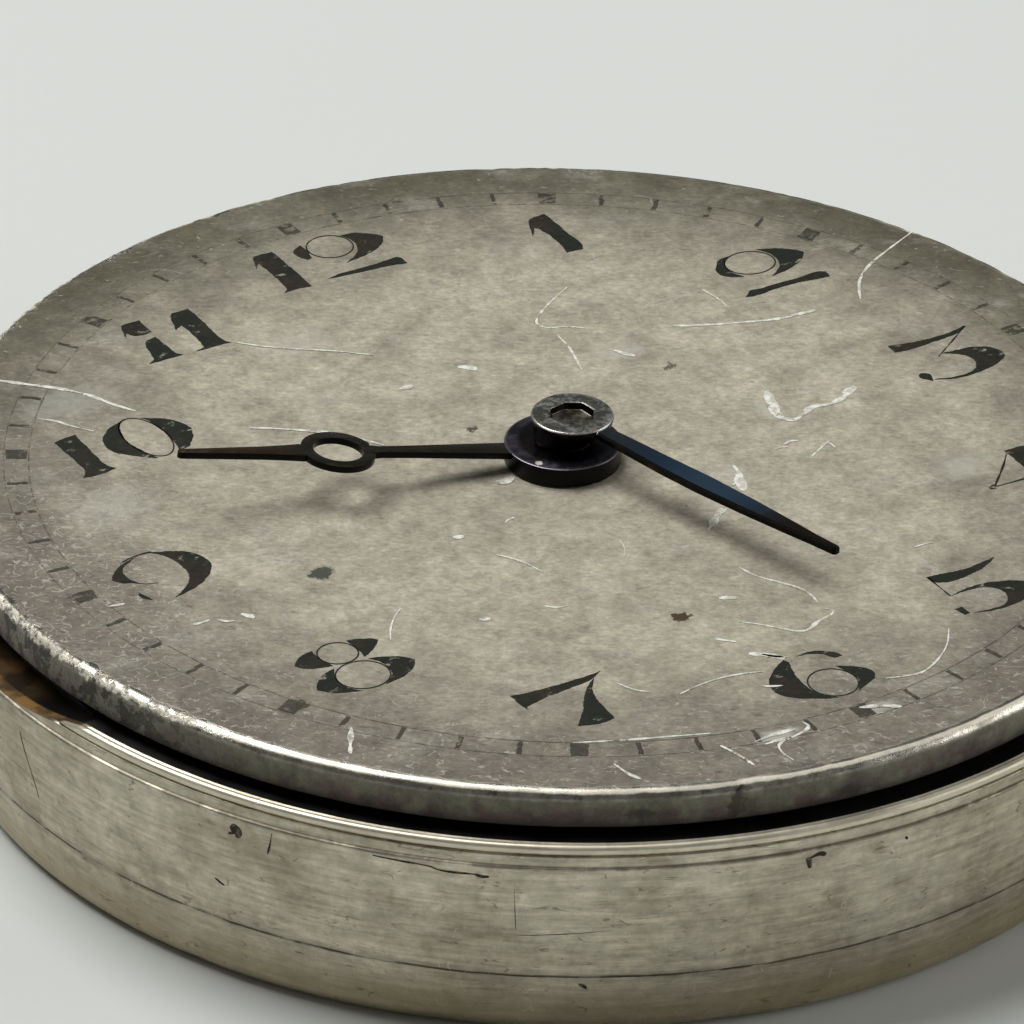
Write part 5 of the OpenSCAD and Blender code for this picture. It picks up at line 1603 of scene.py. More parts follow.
@dataclass
class WallMarks:
    """Gouges and long scratches on the outside of the band, filled with grime.

    Each mark is a path of (degrees round, height) points, and a width.
    """

    rise: float = 0.004
    foot: Point2 = (13.89, 1.71)
    lean: float = 0.37 / 2.78
    marks: Strokes = (
        (((209.6, 4.3), (210.0, 4.24), (210.3, 4.12), (210.1, 4.02)), 0.26),
        (((209.3, 4.06), (209.9, 4.12)), 0.15),
        (((213.5, 4.4), (213.3, 4.1), (213.0, 3.82)), 0.07),
        (((222.5, 4.44), (224.5, 4.41), (227.4, 4.39), (228.0, 4.3), (229.6, 4.28), (231.1, 4.3),
          (232.3, 4.25)), 0.05),
        (((231.2, 4.3), (231.7, 4.24), (232.4, 4.26)), 0.1),
        (((259.4, 4.3), (260.0, 4.37), (260.5, 4.41), (261.0, 4.34)), 0.2),
        (((259.4, 4.34), (259.55, 4.2), (259.65, 4.06)), 0.22),
        (((184.6, 3.9), (185.0, 3.4), (185.8, 2.9), (186.3, 2.4)), 0.035),
        (((197.9, 1.66), (198.2, 1.6), (198.7, 1.56)), 0.08),
        (((207.6, 2.72), (208.1, 2.64), (208.5, 2.6)), 0.09),
        (((234.5, 3.95), (234.6, 3.4), (234.7, 2.88)), 0.025),
        (((234.9, 2.74), (238.4, 2.8), (242.8, 2.92)), 0.025),
        (((240.2, 1.46), (240.6, 1.41), (240.9, 1.34)), 0.12),
        (((199.5, 2.1), (201.0, 1.98), (203.5, 1.86)), 0.05),
        (((268.6, 4.28), (268.8, 4.2)), 0.08),
    )

    def build(self) -> None:
        """Builds the marks on the wall."""
        points: list[Point3] = []
        faces: Faces = []
        for path, width in self.marks:
            flat = [(math.radians(turn) * WALL_MEAN, height) for turn, height in path]
            more, sides = prism([ribbon(flat, width)], -0.01, self.rise, len(points))
            faces += sides
            for along_wall, height, out in more:
                turn = along_wall / WALL_MEAN
                radius = self.foot[0] + (height - self.foot[1]) * self.lean + out
                points.append((radius * math.cos(turn), radius * math.sin(turn), height))
        carry(new_piece("band_gouges", np.array(points), faces), Body.HOUSING, WallGrime())


@dataclass
class Crown:
    """The fluted winding crown."""

    flutes: int = 24
    flute_radius: float = 0.16
    flute_at: float = 1.94
    base: float = 14.95
    profile: Corners = (
        (0.55, 0.0),
        (1.55, 0.0, 0.06),
        (1.8, 0.12, 0.06),
        (1.9, 0.4, 0.08),
        (1.9, 1.4, 0.08),
        (1.72, 1.7, 0.1),
        (1.3, 1.85, 0.2),
        (0.0, 1.9),
    )

    def reach(self, r: float, z: float, turn: float) -> float:
        """Returns the crown's radius at an angle, less where a flute passes.

        Args:
            r: The plain radius.
            z: The height along the crown.
            turn: The angle.

        Returns:
            The radius.
        """
        pitch = 2 * math.pi / self.flutes
        off = (turn + pitch / 2) % pitch - pitch / 2
        side = self.flute_at * math.sin(off)
        if abs(side) >= self.flute_radius:
            return r
        return min(r, self.flute_at * math.cos(off) - math.sqrt(self.flute_radius**2 - side**2))

    def build(self) -> None:
        """Builds the crown and places it."""
        outline = [(0.0, 0.0), *rounded(self.profile, False, 4)]
        points, faces = spin(outline, self.flutes * 20, False, self.reach)
        placed = np.stack([points[:, 2] + self.base, points[:, 1], -points[:, 0] + STEM_HEIGHT], axis=1)
        piece = new_piece("crown_fluted", placed, faces, 40)
        stand_for(piece, "crown", CaseNickel())


# the dial


@dataclass
class Numeral:
    """One printed figure: solid blocks, thin rings and thin strokes, in millimetres on the dial."""

    blocks: tuple[tuple[Point2, ...], ...] = ()
    rings: tuple[tuple[float, float, float, float], ...] = ()
    strokes: Strokes = ()

    def loops(self, hair: float) -> list[Loops]:
        """Returns the figure's closed outlines, each with its holes.

        Args:
            hair: The width of its thin rings.

        Returns:
            A list of outline and hole lists.
        """
        made = [[roughen(soften(block), 0.022)] for block in self.blocks]
        for x, y, wide, tall in self.rings:
            turns = [2 * math.pi * k / 48 for k in range(48)]
            outer = [(x + wide * math.cos(t), y + tall * math.sin(t)) for t in turns]
            inner = [(x + (wide - hair) * math.cos(t), y + (tall - hair) * math.sin(t)) for t in turns]
            made.append([outer, inner])
        made += [[ribbon(path, width, False)] for path, width in self.strokes]
        return made


FIGURES: dict[int, Numeral] = {
    12: Numeral(blocks=(
        ((-1.4, 11.18), (-1.3, 11.21), (-0.87, 11.2), (-0.86, 10.3), (-0.88, 9.36), (-1.1, 9.42),
         (-1.42, 9.42), (-1.58, 9.39), (-1.42, 9.52), (-1.39, 10.2), (-1.4, 10.9), (-1.58, 10.66)),
        ((-0.16, 11.15), (-0.42, 11.0), (-0.5, 10.79), (-0.34, 10.47), (-0.22, 10.5), (-0.13, 10.79),
         (-0.15, 11.07)),
        ((0.888, 11.11), (1.207, 11.09), (1.562, 10.86), (1.718, 10.61), (1.562, 10.33), (1.207, 10.12),
         (0.85, 10.01), (0.355, 9.94), (0.639, 10.08), (0.888, 10.3), (1.008, 10.58), (1.008, 10.79),
         (0.958, 11.0)),
        ((-0.39, 9.48), (0.0, 9.585), (0.78, 9.55), (1.49, 9.62), (1.583, 9.51), (1.562, 9.244),
         (1.207, 9.336), (0.78, 9.358), (0.07, 9.43)),
    ), rings=((0.41, 10.77, 0.56, 0.53),)),
    1: Numeral(blocks=(
        ((5.04, 9.66), (5.25, 9.73), (5.5, 9.73), (5.54, 9.37), (5.5, 8.8), (5.54, 8.09), (5.43, 7.89),
         (5.0, 7.92), (5.11, 8.38), (5.08, 9.09), (4.97, 9.27), (4.73, 8.95), (4.93, 9.44)),
    )),
    2: Numeral(blocks=(
        ((7.88, 5.96), (7.6, 5.71), (7.49, 5.43), (7.6, 5.15), (7.95, 5.0), (7.83, 5.2), (7.8, 5.54),
         (7.92, 5.82), (8.16, 5.97)),
        ((8.875, 5.964), (9.301, 5.786), (9.656, 5.537), (9.763, 5.325), (9.585, 5.076), (9.23, 4.898),
         (8.946, 4.77), (8.52, 4.742), (8.804, 4.9), (8.982, 5.076), (9.067, 5.395), (9.053, 5.68)),
        ((7.455, 4.174), (7.704, 4.401), (7.952, 4.33), (8.236, 4.387), (8.946, 4.366), (9.585, 4.415),
         (9.699, 4.316), (9.656, 4.06), (9.372, 4.117), (8.875, 4.174), (8.236, 4.188), (7.739, 4.117)),
    ), rings=((8.41, 5.49, 0.62, 0.53),)),
    3: Numeral(blocks=(
        ((9.031, 0.745), (9.372, 0.653), (9.87, 0.568), (10.508, 0.568), (11.09, 0.69), (10.79, 0.461),
         (10.295, 0.426), (9.8, 0.39), (9.372, 0.34), (9.017, 0.426)),
        ((9.9, -0.12), (10.08, -0.14), (10.65, -0.18), (11.0, -0.36), (11.18, -0.71), (11.05, -0.98),
         (10.58, -1.16), (10.08, -1.26), (9.51, -1.22), (9.1, -1.04), (9.16, -1.03), (9.5, -1.15),
         (10.01, -1.17), (10.3, -0.96), (10.4, -0.71), (10.33, -0.43), (10.08, -0.22)),
        ((9.0, -0.64), (9.13, -0.72), (9.14, -0.84), (9.05, -1.08), (8.98, -0.95), (8.87, -0.84),
         (8.89, -0.71)),
    ), strokes=((((11.06, 0.66), (10.5, 0.28), (10.08, 0.0), (9.78, -0.2)), 0.05),)),
    4: Numeral(blocks=(
        ((8.68, -4.4), (9.2, -4.42), (9.2, -5.2), (9.22, -6.0), (9.34, -6.18), (8.52, -6.18),
         (8.68, -6.0), (8.68, -5.2)),
        ((7.5, -5.54), (7.68, -5.5), (7.74, -5.62), (7.6, -5.7), (7.48, -5.66)),
    ), strokes=(
        (((8.69, -4.5), (8.3, -4.95), (7.66, -5.56)), 0.07),
        (((7.6, -5.61), (8.6, -5.63), (9.6, -5.6)), 0.06)
    )),
    5: Numeral(blocks=(
        ((4.175, -8.06), (4.544, -8.11), (5.04, -8.2), (5.467, -8.15), (5.93, -8.07), (5.61, -8.29),
         (5.11, -8.435), (4.615, -8.485), (4.26, -8.39), (4.175, -8.24)),
        ((4.2, -8.97), (4.6, -8.86), (5.1, -8.86), (5.6, -9.0), (5.95, -9.22), (6.05, -9.42),
         (5.85, -9.7), (5.4, -9.88), (4.95, -9.93), (4.5, -9.88), (4.25, -9.78), (4.5, -9.82),
         (4.95, -9.85), (5.2, -9.7), (5.32, -9.45), (5.28, -9.2), (5.05, -8.98), (4.6, -8.93)),
        ((3.98, -9.46), (4.17, -9.46), (4.18, -9.74), (4.05, -9.76)),
    ), strokes=((((4.2, -8.1), (4.2, -8.95)), 0.05),)),
    6: Numeral(blocks=(
        ((-0.354, -9.42), (-0.709, -9.63), (-0.993, -9.87), (-1.19, -10.15), (-1.207, -10.508),
         (-0.993, -10.79), (-0.567, -11.08), (-0.14, -11.24), (-0.32, -11.1), (-0.46, -10.86),
         (-0.51, -10.58), (-0.482, -10.22), (-0.425, -9.87), (-0.28, -9.58)),
        ((0.497, -10.15), (0.78, -10.31), (0.994, -10.51), (1.09, -10.72), (0.98, -10.93), (0.78, -11.05),
         (0.57, -11.12), (0.35, -11.24), (0.5, -11.05), (0.6, -10.9), (0.64, -10.72), (0.6, -10.51),
         (0.53, -10.28)),
        ((-0.03, -9.44), (0.28, -9.386), (0.568, -9.48), (0.817, -9.74), (0.85, -9.87), (0.64, -9.85),
         (0.53, -9.64), (0.284, -9.46)),
    ), rings=((0.08, -10.68, 0.55, 0.56),)),
    7: Numeral(blocks=(
        ((-6.12, -7.825), (-5.893, -7.895), (-5.183, -7.95), (-4.473, -7.95), (-3.96, -7.93),
         (-4.33, -8.13), (-4.83, -8.18), (-5.396, -8.236), (-5.82, -8.32), (-6.035, -8.364),
         (-6.09, -8.506), (-6.13, -8.165)),
        ((-4.22, -8.08), (-4.47, -8.41), (-4.6, -8.73), (-4.65, -9.23), (-4.67, -9.64), (-4.93, -9.69),
         (-5.25, -9.64), (-5.5, -9.53), (-5.18, -9.16), (-4.93, -8.84), (-4.72, -8.52), (-4.42, -8.2)),
    )),
    8: Numeral(blocks=(
        ((-8.84, -4.27), (-9.16, -4.33), (-9.37, -4.47), (-9.46, -4.615), (-9.37, -4.79), (-9.09, -4.93),
         (-8.75, -5.0), (-8.8, -4.85), (-8.84, -4.615), (-8.86, -4.4)),
        ((-7.99, -4.26), (-7.67, -4.33), (-7.45, -4.47), (-7.384, -4.56), (-7.597, -4.79), (-7.81, -4.93),
         (-7.99, -5.0), (-7.97, -4.86), (-7.95, -4.59), (-7.99, -4.36)),
        ((-8.8, -5.1), (-9.16, -5.22), (-9.44, -5.467), (-9.53, -5.68), (-9.37, -5.89), (-9.09, -6.05),
         (-8.7, -6.15), (-8.82, -6.05), (-8.93, -5.86), (-8.97, -5.61), (-8.93, -5.36)),
        ((-7.95, -5.1), (-7.53, -5.22), (-7.24, -5.43), (-7.11, -5.62), (-7.24, -5.82), (-7.53, -6.035),
         (-7.81, -6.12), (-8.165, -6.17), (-7.88, -5.98), (-7.78, -5.79), (-7.76, -5.61), (-7.78, -5.33)),
    ), rings=((-8.41, -4.61, 0.46, 0.44), (-8.38, -5.61, 0.61, 0.56))),
    9: Numeral(blocks=(
        ((-10.12, 0.91), (-10.51, 0.82), (-10.93, 0.568), (-11.11, 0.284), (-11.0, 0.07),
         (-10.67, -0.057), (-10.73, 0.05), (-10.78, 0.284), (-10.72, 0.568), (-10.45, 0.78)),
        ((-9.9, 0.93), (-9.37, 0.746), (-9.016, 0.46), (-8.88, 0.07), (-8.945, -0.213), (-9.16, -0.497),
         (-9.51, -0.746), (-9.87, -0.89), (-10.28, -0.97), (-10.08, -0.87), (-9.87, -0.71),
         (-9.656, -0.497), (-9.55, -0.284), (-9.51, 0.0), (-9.53, 0.284), (-9.57, 0.5), (-9.68, 0.746)),
        ((-10.93, -0.52), (-10.85, -0.45), (-10.73, -0.82), (-10.9, -0.71)),
    ), strokes=(
        (((-10.55, 0.84), (-10.3, 0.92), (-10.1, 0.95), (-9.8, 0.92)), 0.07),
        (((-10.75, -0.02), (-10.55, -0.2), (-10.3, -0.27)), 0.04)
    )),
    10: Numeral(blocks=(
        ((-9.37, 6.0), (-9.1, 6.07), (-8.8, 6.09), (-8.83, 5.54), (-8.86, 4.97), (-8.85, 4.54),
         (-8.73, 4.39), (-9.0, 4.33), (-9.37, 4.32), (-9.55, 4.39), (-9.37, 4.54), (-9.336, 4.97),
         (-9.36, 5.54)),
        ((-7.49, 6.17), (-7.95, 6.03), (-8.3, 5.75), (-8.48, 5.43), (-8.45, 5.04), (-8.236, 4.757),
         (-7.95, 4.51), (-7.7, 4.33), (-7.77, 4.54), (-7.9, 4.9), (-7.955, 5.325), (-7.88, 5.68),
         (-7.74, 6.03)),
        ((-7.2, 6.05), (-6.816, 5.82), (-6.53, 5.54), (-6.425, 5.18), (-6.496, 4.9), (-6.67, 4.65),
         (-6.85, 4.437), (-7.15, 4.36), (-7.1, 4.51), (-7.06, 4.83), (-7.03, 5.18), (-7.07, 5.54),
         (-7.08, 5.89)),
    ), rings=((-7.49, 5.25, 0.49, 0.92),)),
    11: Numeral(blocks=(
        ((-5.6, 9.82), (-5.5, 9.87), (-5.08, 9.88), (-5.08, 9.3), (-5.3, 9.24), (-5.5, 9.28),
         (-5.62, 9.5), (-5.72, 9.3)),
        ((-5.36, 9.0), (-5.12, 9.05), (-5.1, 8.4), (-5.08, 8.15), (-4.96, 8.04), (-5.84, 8.04),
         (-5.62, 8.18), (-5.58, 8.5), (-5.5, 8.85)),
        ((-4.295, 9.8), (-3.87, 9.8), (-3.83, 9.37), (-3.87, 8.73), (-3.87, 8.13), (-3.75, 8.02),
         (-4.65, 8.02), (-4.39, 8.13), (-4.33, 8.73), (-4.345, 9.23), (-4.56, 9.1), (-4.39, 9.66)),
    )),
}

SCRATCHES: Strokes = (
    (((5.3, 3.84), (5.6, 3.7), (6.18, 3.44), (6.96, 3.16), (7.6, 2.945), (8.38, 2.91)), 0.12),
    (((5.3, 3.86), (5.42, 3.79), (5.55, 3.73)), 0.16),
    (((-1.82, -0.2), (-1.66, -0.24), (-1.5, -0.2), (-1.36, -0.12)), 0.2),
    (((7.9, 2.96), (8.15, 2.92), (8.5, 2.9)), 0.15),
    (((4.15, 6.53), (3.41, 6.1), (2.84, 5.68), (2.63, 5.4), (2.77, 5.11), (3.2, 5.0), (3.51, 4.72)), 0.055),
    (((2.8, 4.76), (2.73, 4.05), (2.52, 3.41), (2.45, 3.12)), 0.06),
    (((12.5, 4.93), (11.5, 4.47), (10.79, 4.12), (10.22, 3.69), (9.87, 3.19), (9.69, 2.84)), 0.07),
    (((6.78, 4.97), (6.87, 4.4), (6.85, 3.9)), 0.045),
    (((-9.5, 9.3), (-9.09, 8.98), (-8.63, 8.52), (-8.09, 8.02), (-7.67, 7.45), (-7.45, 6.89), (-7.135, 6.35)),
     0.13),
    (((-9.19, 7.1), (-8.87, 6.82), (-8.66, 6.39), (-8.38, 6.03)), 0.075),
    (((-5.32, 4.5), (-4.82, 4.19), (-4.26, 3.76), (-3.83, 3.41), (-3.41, 2.87), (-3.12, 2.41)), 0.1),
    (((-3.69, 7.95), (-3.2, 7.45), (-2.56, 6.96), (-2.0, 6.6), (-1.28, 5.96)), 0.06),
    (((-0.32, -7.67), (0.0, -7.95), (0.28, -8.3), (0.57, -8.63), (0.82, -8.66), (1.14, -8.45), (1.56, -8.38),
      (1.7, -8.24), (1.56, -8.1)), 0.075),
    (((0.89, -5.75), (0.99, -6.25), (1.28, -6.67), (1.56, -7.1), (1.63, -7.45), (1.56, -7.88)), 0.06),
    (((5.54, 0.35), (5.33, -0.2), (5.11, -0.78), (5.4, -1.06)), 0.26),
    (((5.2, -0.95), (5.4, -1.06), (5.82, -0.85), (6.1, -0.71), (6.39, -0.85), (6.89, -0.75), (7.3, -0.43)),
     0.17),
    (((7.0, -0.62), (7.2, -0.5), (7.4, -0.45)), 0.22),
    (((-5.96, -10.05), (-5.32, -10.33), (-4.68, -10.6), (-4.12, -10.8), (-3.27, -11.13)), 0.06),
    (((1.14, -11.1), (1.78, -11.29), (2.13, -11.22), (2.63, -10.93), (3.05, -10.58), (3.41, -10.08)), 0.06),
    (((-2.98, -9.51), (-2.41, -9.4), (-1.85, -9.38), (-1.28, -9.5), (-0.99, -9.61)), 0.045),
    (((4.76, -2.6), (5.54, -2.17)), 0.06),
    (((-1.35, -11.68), (-1.28, -11.93), (-1.7, -12.07), (-2.27, -12.14), (-2.38, -12.5), (-2.32, -12.85)),
     0.08),
    (((-5.64, -11.15), (-5.6, -11.64), (-5.47, -11.93)), 0.07),
    (((-3.34, -11.64), (-3.2, -12.14), (-3.14, -12.64)), 0.08),
    (((1.14, -4.12), (1.56, -3.83), (1.99, -3.55)), 0.05),
    (((3.12, -2.06), (3.02, -2.63), (2.63, -2.77)), 0.12),
    (((-7.17, -4.72), (-6.96, -4.33), (-6.67, -3.98), (-6.32, -3.69)), 0.04),
    (((-10.2, -8.17), (-9.94, -7.74), (-9.66, -7.3)), 0.11),
    (((-1.9, -0.12), (-1.72, -0.14), (-1.55, -0.16)), 0.16),
    (((-0.18, -6.65), (-0.02, -6.7), (0.1, -6.74)), 0.13),
    (((4.65, -6.9), (4.9, -6.89), (5.15, -6.95)), 0.07),
    (((-1.55, 4.37), (-1.4, 4.35), (-1.2, 4.36)), 0.13),
    (((0.1, 4.6), (0.25, 4.5), (0.42, 4.3)), 0.22),
    (((-10.5, -2.14), (-10.3, -2.15), (-10.1, -2.13)), 0.09),
    (((-9.95, -2.2), (-9.85, -2.35), (-9.66, -2.42)), 0.08),
    (((-9.4, -2.25), (-9.3, -2.4), (-9.2, -2.5)), 0.16),
    (((-0.85, -8.85), (-0.5, -9.1), (-0.3, -9.4)), 0.16),
    (((-1.15, -8.0), (-0.95, -8.2), (-0.82, -8.32)), 0.09),
    (((-11.7, -0.62), (-11.5, -0.66), (-11.35, -0.68)), 0.07),
    (((-3.4, -2.8), (-3.3, -2.9), (-3.05, -3.3), (-2.9, -3.9)), 0.05),
    (((-3.6, -5.1), (-3.4, -5.3), (-3.1, -5.33)), 0.06),
    (((-3.9, -8.5), (-3.75, -8.9), (-3.5, -9.12)), 0.08),
    (((4.3, -1.9), (4.45, -1.9), (4.6, -1.95)), 0.06),
    (((-1.32, -10.08), (-1.15, -10.2), (-0.92, -10.28)), 0.06),
    (((-0.62, -9.0), (-0.44, -9.22), (-0.2, -9.36)), 0.07),
    (((-2.62, -11.86), (-2.2, -11.8), (-1.62, -11.84)), 0.1),
    (((-2.5, -12.05), (-2.1, -12.04), (-1.75, -12.1)), 0.09),
    (((0.0, -11.8), (0.4, -11.93), (0.8, -12.2)), 0.13),
    (((2.98, -2.4), (2.86, -2.75), (2.74, -3.1)), 0.22),
    (((1.3, -4.0), (1.55, -3.8), (1.9, -3.5)), 0.16),
    (((5.2, -2.36), (5.35, -2.22), (5.52, -2.26), (5.5, -2.5)), 0.05),
    (((4.6, -1.84), (4.78, -1.76), (4.95, -1.84)), 0.05),
    (((-5.1, -4.9), (-4.98, -4.96), (-4.86, -4.94)), 0.12),
    (((-0.75, -3.55), (-0.8, -3.85), (-1.02, -4.2)), 0.05),
    (((-2.52, -1.72), (-2.38, -1.64), (-2.24, -1.64)), 0.06),
    (((-3.84, -1.72), (-3.7, -1.78), (-3.6, -1.76)), 0.09),
    (((-0.14, -6.66), (0.02, -6.72), (0.16, -6.8)), 0.2),
    (((3.55, 3.55), (3.66, 3.3), (3.82, 3.1)), 0.13),
)


@dataclass
class Dial:
    """The silvered dial with its turned-down rim, its print and its scratches."""

    top: float = DIAL_TOP
    hole: float = 0.95
    shoulder: float = 13.38
    round_over: float = 0.25
    side_head: Point2 = (13.635, 5.7)
    side_foot: Point2 = (13.65, 5.2)
    under: Corners = ((13.65, 5.2, 0.03), (13.6, 5.15), (13.23, 5.15, 0.03), (13.23, 5.6), (0.95, 5.6))
    dent_depth: float = 0.035
    segments: int = 480
    ink_rise: float = 0.008
    hair: float = 0.032
    track_in: float = 11.68
    track_out: float = 12.22
    block_half: float = 0.19
    stroke_half: float = 0.05
    scratch_layers: int = 4
    scratch_growth: float = 1.35

    def plate(self) -> None:
        """Builds the metal of the dial."""
        face = along((self.hole, self.top), (self.shoulder, self.top), 0.3)
        rim = arc((self.shoulder, self.top - self.round_over), self.round_over, 90, 0, 14)
        side = along(self.side_head, self.side_foot, 0.1)
        under = rounded(self.under, False, 3)
        points, faces = spin([*face, *rim, *side, *under], self.segments, True)
        piece = new_piece("dial_plate", points, faces, 32)
        dent(piece, self.dent_depth, 1.3, lambda at: 1.0 if math.hypot(at.x, at.y) > 13.36 else 0.0)
        stand_for(piece, "dial", DialSilver())

    def circles(self) -> list[Loops]:
        """Draws the minute track's two thin circles.

        Returns:
            Their outlines.
        """
        turns = [2 * math.pi * k / 360 for k in range(360)]
        sizes = ((self.track_in, self.hair), (self.track_out, self.hair * 0.6))
        rings = [(radius, radius - hair) for radius, hair in sizes]
        return [[[(r * math.cos(t), r * math.sin(t)) for t in turns] for r in ring] for ring in rings]

    def marks(self) -> list[Loops]:
        """Draws the minute track's strokes, with a block at every fifth one.

        Returns:
            Their outlines.
        """
        made = []
        start, end = self.track_in + 0.02, self.track_out - 0.05
        for minute in range(60):
            turn = math.radians(6 * minute)
            half = self.stroke_half if minute % 5 else self.block_half
            block = [(-half, start), (half, start), (half, end), (-half, end)]
            c, s = math.cos(turn), math.sin(turn)
            made.append([roughen([(x * c + y * s, -x * s + y * c) for x, y in block], 0.03)])
        return made

    def flat_piece(self, name: str, outlines: list[Loops], rise: float, finish: Finish) -> None:
        """Builds thin closed solids on the dial's face.

        Args:
            name: The piece's name.
            outlines: Each outline with its holes.
            rise: How far they stand above the face.
            finish: Their finish.
        """
        points: list[Point3] = []
        faces: Faces = []
        for loops in outlines:
            more, sides = prism(loops, self.top - 0.01, self.top + rise, len(points))
            points += more
            faces += sides
        piece = new_piece(name, np.array(points), faces, 30)
        carry(piece, Body.HOUSING, finish)

    def build(self) -> None:
        """Builds the dial, its print and its scratches."""
        self.plate()
        figures = [loops for figure in FIGURES.values() for loops in figure.loops(self.hair)]
        self.flat_piece("dial_numbers", figures, self.ink_rise, PrintInk())
        worn = PrintInk(title="Worn dial print", wear=0.05, far_wear=0.05, faint=0.22)
        self.flat_piece("dial_track", self.marks(), self.ink_rise * 0.7, worn)
        faint = PrintInk(title="Faint dial print", wear=0.15, far_wear=0.06, faint=0.5)
        self.flat_piece("dial_circles", self.circles(), self.ink_rise * 0.6, faint)
        strokes = [[ribbon(path, width * self.scratch_growth)] for path, width in SCRATCHES]
        for layer in range(self.scratch_layers):
            name, rise = f"dial_scratches_{layer + 1}", self.ink_rise * (1.5 + 0.25 * layer)
            self.flat_piece(name, strokes[layer :: self.scratch_layers], rise, BareScratch())


# the hands


@dataclass
class HourHand:
    """The hour hand: a turned collet, and a flat arm with a pierced oval eye, bent up towards its tip."""

    clock: float = 283.7
    bend: float = 8.2
    thick: float = 0.15
    middle: float = 6.22
    length: float = 8.84
    eye_at: float = 5.2
    eye_long: float = 1.66
    eye_wide: float = 1.58
    eye_wall: float = 0.27
    collet: Corners = (
        (0.72, 6.03, 0.02),
        (1.29, 6.03, 0.03),
        (1.29, 6.47, 0.03),
        (0.62, 6.53, 0.02),
        (0.62, 6.42, 0.01),
        (0.72, 6.42, 0.01),
    )

    def outline(self) -> Loops:
        """Draws the arm along X.

        Returns:
            Its outline, and the eye's hole.
        """
        eye_in, eye_out = self.eye_at - self.eye_long / 2 + 0.12, self.eye_at + self.eye_long / 2 - 0.12
        edge: list[Point2] = [(1.09, 0.25), (eye_in - 1.0, 0.15), (eye_in - 0.25, 0.135), (eye_in, 0.19)]
        turns = [math.radians(t) for t in range(162, 16, -6)]
        edge += [
            (self.eye_at + self.eye_long / 2 * math.cos(t), self.eye_wide / 2 * math.sin(t)) for t in turns
        ]
        edge += [
            (eye_out + 0.12, 0.26), (eye_out + 0.42, 0.22), (eye_out + 1.0, 0.165),
            (self.length - 0.05, 0.085), (self.length, 0.03)
        ]
        whole = edge + [(x, -y) for x, y in reversed(edge)]
        turns = [2 * math.pi * k / 64 for k in range(64)]
        wide, tall = self.eye_long / 2 - self.eye_wall, self.eye_wide / 2 - self.eye_wall
        return [whole, [(self.eye_at + wide * math.cos(t), tall * math.sin(t)) for t in turns]]

    def build(self) -> None:
        """Builds the hand and places it."""
        points, faces = prism(self.outline(), -self.thick / 2, self.thick / 2)
        arm = new_piece("hour_hand_arm", np.array(points), faces, 30)
        bevel(arm, 0.035, 2)
        place = Matrix.Translation((0, 0, self.middle * MM)) @ Matrix.Rotation(
            math.radians(-self.bend), 4, "Y"
        )
        arm.data.transform(Matrix.Rotation(math.radians(90 - self.clock), 4, "Z") @ place)
        points, faces = spin(rounded(self.collet, True, 4), 128, True)
        hub = new_piece("hour_hand_collet", points, faces, 40)
        for piece in (arm, hub):
            carry(piece, Body.HOUR, BrownedHand())
        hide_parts("hour_hand")


